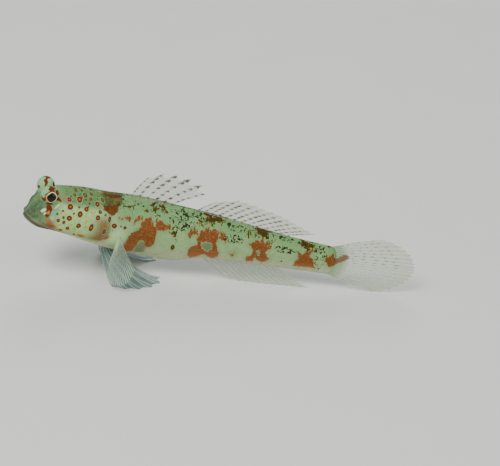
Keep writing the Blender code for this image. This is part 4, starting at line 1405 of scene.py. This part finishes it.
def middle_fin(name, node, sizes, marks_of, rest=None, **shape):
    """A fin of the middle line: rays from the back or belly, leaning back by a few degrees."""
    rays, up = sizes["rays"], sizes["up"]
    s = np.linspace(sizes["start"], sizes["end"], rays)
    angle = np.full(rays, 0.0 if up > 0 else math.pi)
    roots = body_point(s, angle) - body_normal(s, angle) * SUNK
    lean = np.radians(along_root(sizes["leans"], rays))
    directions = np.stack([np.sin(lean), np.zeros(rays), np.cos(lean) * up], axis=-1)
    bends = np.tile(np.array([sizes["bend"][0], 0.0, sizes["bend"][1] * up]), (rays, 1))
    lengths = along_root(sizes["lengths"], rays) + SUNK + GAP
    curves = stance(ray_curves(roots, directions, lengths, bends, 56))
    piece = fin_sheet(
        name, curves, CLEAR_FIN, marks_of, scallop=sizes["scallop"], root_thick=0.7 * MM,
        root_reach=0.10, rest=rest, **shape,
    )
    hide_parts(node)


FRONT_DASHES = dashes_along((0.14, 0.30, 0.46, 0.62, 0.78, 0.92), 0.034, 0.4)
REAR_DASHES = dashes_along((0.12, 0.25, 0.38, 0.51, 0.64, 0.78), 0.034, 1.1)
middle_fin(
    "front_dorsal", "dorsal_fin_front", FRONT_DORSAL, FRONT_DASHES, steps=14, width=0.055, fork=0.0,
)
middle_fin("rear_dorsal", "dorsal_fin_rear", REAR_DORSAL, REAR_DASHES)
middle_fin("anal", "anal_fin", ANAL, plain_marks, rest="edge")

CAUDAL_RAYS = 17
CAUDAL_ROOT_SHARE = 0.9
CAUDAL_TILT, CAUDAL_SPREAD = 3, 23
CAUDAL_LENGTH, CAUDAL_CORNER_LOSS = 21 * MM, 8 * MM
CAUDAL_BEND = 0.10
CAUDAL_DASHES = dashes_along((0.30, 0.42, 0.54, 0.66, 0.78), 0.020, 2.0)
STREAK_FROM, STREAK_RUN = 2.4, (3.4, -4.4)


def caudal_marks(u, v, ray):
    """A slanting orange-brown streak at the root, and faint brown dashes on the upper rays.

    The streak is what lies near a straight line, in mm along the fin and across it, and its edge
    is moved by waves.
    """
    x, y = 17 * v, (u - (CAUDAL_RAYS - 1) / 2) * (0.62 + 0.9 * v) - STREAK_FROM
    along, across = STREAK_RUN
    share = np.clip((x * along + y * across) / (along**2 + across**2), 0, 1)
    off = np.hypot(x - along * share, y - across * share)
    off += 0.22 * np.sin(7 * u + 3 * v) * np.cos(34 * v + 2 * u)
    return {
        "dash": 0.55 * CAUDAL_DASHES(u, v, ray)["dash"] * fade(7, 11, u),
        "stain": 0.9 * fade(0.62, 0.92, off),
        "flesh": fade(0.10, 0.28, v + 0.015 * np.cos(2 * math.pi * u)),
    }


def tail_fin():
    """A rounded fan of rays from the end of the tail stalk."""
    spread = np.linspace(1, -1, CAUDAL_RAYS)
    high, low = (station(i, 1.0) * STANDARD_LENGTH * CAUDAL_ROOT_SHARE for i in (1, 2))
    level = np.where(spread > 0, high, low) * spread
    roots = np.stack([np.full(CAUDAL_RAYS, STANDARD_LENGTH - SUNK), 0 * spread, level], axis=-1)
    fanned = np.radians(CAUDAL_TILT + CAUDAL_SPREAD * np.sign(spread) * np.abs(spread) ** 1.3)
    directions = np.stack([np.cos(fanned), 0 * spread, np.sin(fanned)], axis=-1)
    lengths = CAUDAL_LENGTH - CAUDAL_CORNER_LOSS * np.abs(spread) ** 2.4 + SUNK
    bends = np.stack([0 * spread, 0 * spread, -CAUDAL_BEND * spread], axis=-1)
    curves = stance(ray_curves(roots, directions, lengths, bends, 80))
    piece = fin_sheet(
        "caudal", curves, CLEAR_FIN, caudal_marks, scallop=0.03, root_thick=1.2 * MM,
        root_reach=0.12, rest="edge",
    )
    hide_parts("tail_fin")


tail_fin()

# The paired fins
# Pectoral fins fan out and down from a pale fleshy lobe behind each gill cover, on many fine
# white rays. Blue-grey pelvic fins run down and out and lie along the floor as props.

PAIRED_FIN = fin_finish(
    "paired_fin", membrane=(0.17, 0.28, 0.23), ray_tone=(0.58, 0.70, 0.50),
    dash_tone=(0.10, 0.12, 0.10), flesh_tone=BREAST, clear=0.09, ray_cover=0.80,
)
PELVIC_FIN = fin_finish(
    "pelvic_fin", membrane=(0.17, 0.27, 0.24), ray_tone=(0.33, 0.46, 0.42),
    dash_tone=(0.10, 0.12, 0.10), flesh_tone=(0.44, 0.53, 0.38), clear=0.45, ray_cover=0.90,
)
PECTORAL_RAYS = 19
PECTORAL_ROOT, PECTORAL_ANGLES = (0.298, 0.312), (92, 126)
PECTORAL_TOP, PECTORAL_BOTTOM = (0.46, 0.60, -0.64), (-0.32, 0.48, -0.82)
PECTORAL_LENGTH, PECTORAL_CROWN, PECTORAL_TAPER = 9.6 * MM, 2.4 * MM, 1.2 * MM
PECTORAL_BEND = np.array([0.16, -0.10, 0.02])


def pectoral_marks(u, v, ray):
    """The fleshy lobe covers the first sixth of the rays and ends in a wavy edge."""
    edge = 0.17 + 0.012 * np.sin(5 * u) + 0.03 * np.cos(2 * math.pi * u)
    return {**plain_marks(u, v, ray), "flesh": fade(-0.03, 0.06, v - edge)}


def pectoral_fins():
    """The rays' roots run down behind the gill opening, and their directions swing down and forward."""
    u = np.linspace(0, 1, PECTORAL_RAYS)
    s = np.linspace(*PECTORAL_ROOT, PECTORAL_RAYS)
    angle = np.radians(np.linspace(*PECTORAL_ANGLES, PECTORAL_RAYS))
    roots = body_point(s, angle) - body_normal(s, angle) * SUNK
    directions = np.linspace(PECTORAL_TOP, PECTORAL_BOTTOM, PECTORAL_RAYS)
    lengths = PECTORAL_LENGTH + PECTORAL_CROWN * np.sin(math.pi * u) - PECTORAL_TAPER * u + SUNK
    bends = np.tile(PECTORAL_BEND, (PECTORAL_RAYS, 1))
    straight = ray_curves(roots, directions, lengths, bends, 56)
    for name, node, side in (
        ("pectoral_left", "pectoral_fin_left", -1), ("pectoral_right", "pectoral_fin_right", 1),
    ):
        curves = stance(mirrored(straight, side))
        piece = fin_sheet(
            name, curves, PAIRED_FIN, pectoral_marks, scallop=0.05, root_thick=1.2 * MM,
            root_reach=0.28, width=0.09,
        )
        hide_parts(node)


pectoral_fins()

PELVIC_RAYS = 6
PELVIC_ROOT, PELVIC_SIDE = (0.262, 0.300), (2.3 * MM, 0.75 * MM)
PELVIC_REACH = np.array([6.6, 9.0, 11.2, 12.8, 13.6, 12.6]) * MM
PELVIC_SPLAY, PELVIC_FALL = (66, 14), 1.75


def pelvic_fins():
    """Each ray runs out level along its heading while its height falls as a power of what is left."""
    s = np.linspace(*PELVIC_ROOT, PELVIC_RAYS)
    offset = np.linspace(*PELVIC_SIDE, PELVIC_RAYS)
    angle = math.pi - np.arcsin((offset / (station(3, s) * STANDARD_LENGTH)) ** (station(5, s) / 2))
    roots = body_point(s, angle) - body_normal(s, angle) * SUNK
    splay = np.radians(np.linspace(*PELVIC_SPLAY, PELVIC_RAYS))
    v = np.linspace(0, 1, 64)
    for name, node, side in (
        ("pelvic_left", "pelvic_fin_left", -1), ("pelvic_right", "pelvic_fin_right", 1),
    ):
        start = stance(mirrored(roots, side))
        turn = splay * side + heading(s)
        level = np.stack([np.cos(turn), np.sin(turn)], axis=-1) * PELVIC_REACH[:, None]
        curves = np.empty((PELVIC_RAYS, len(v), 3))
        curves[..., :2] = start[:, None, :2] + level[:, None] * v[:, None] ** 1.1
        curves[..., 2] = start[:, None, 2] * (1 - v) ** PELVIC_FALL
        piece = fin_sheet(
            name, curves, PELVIC_FIN, plain_marks, scallop=0.05, root_thick=0.8 * MM,
            root_reach=0.12, steps=14, fork=0.20, rest="flat",
        )
        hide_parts(node)


pelvic_fins()
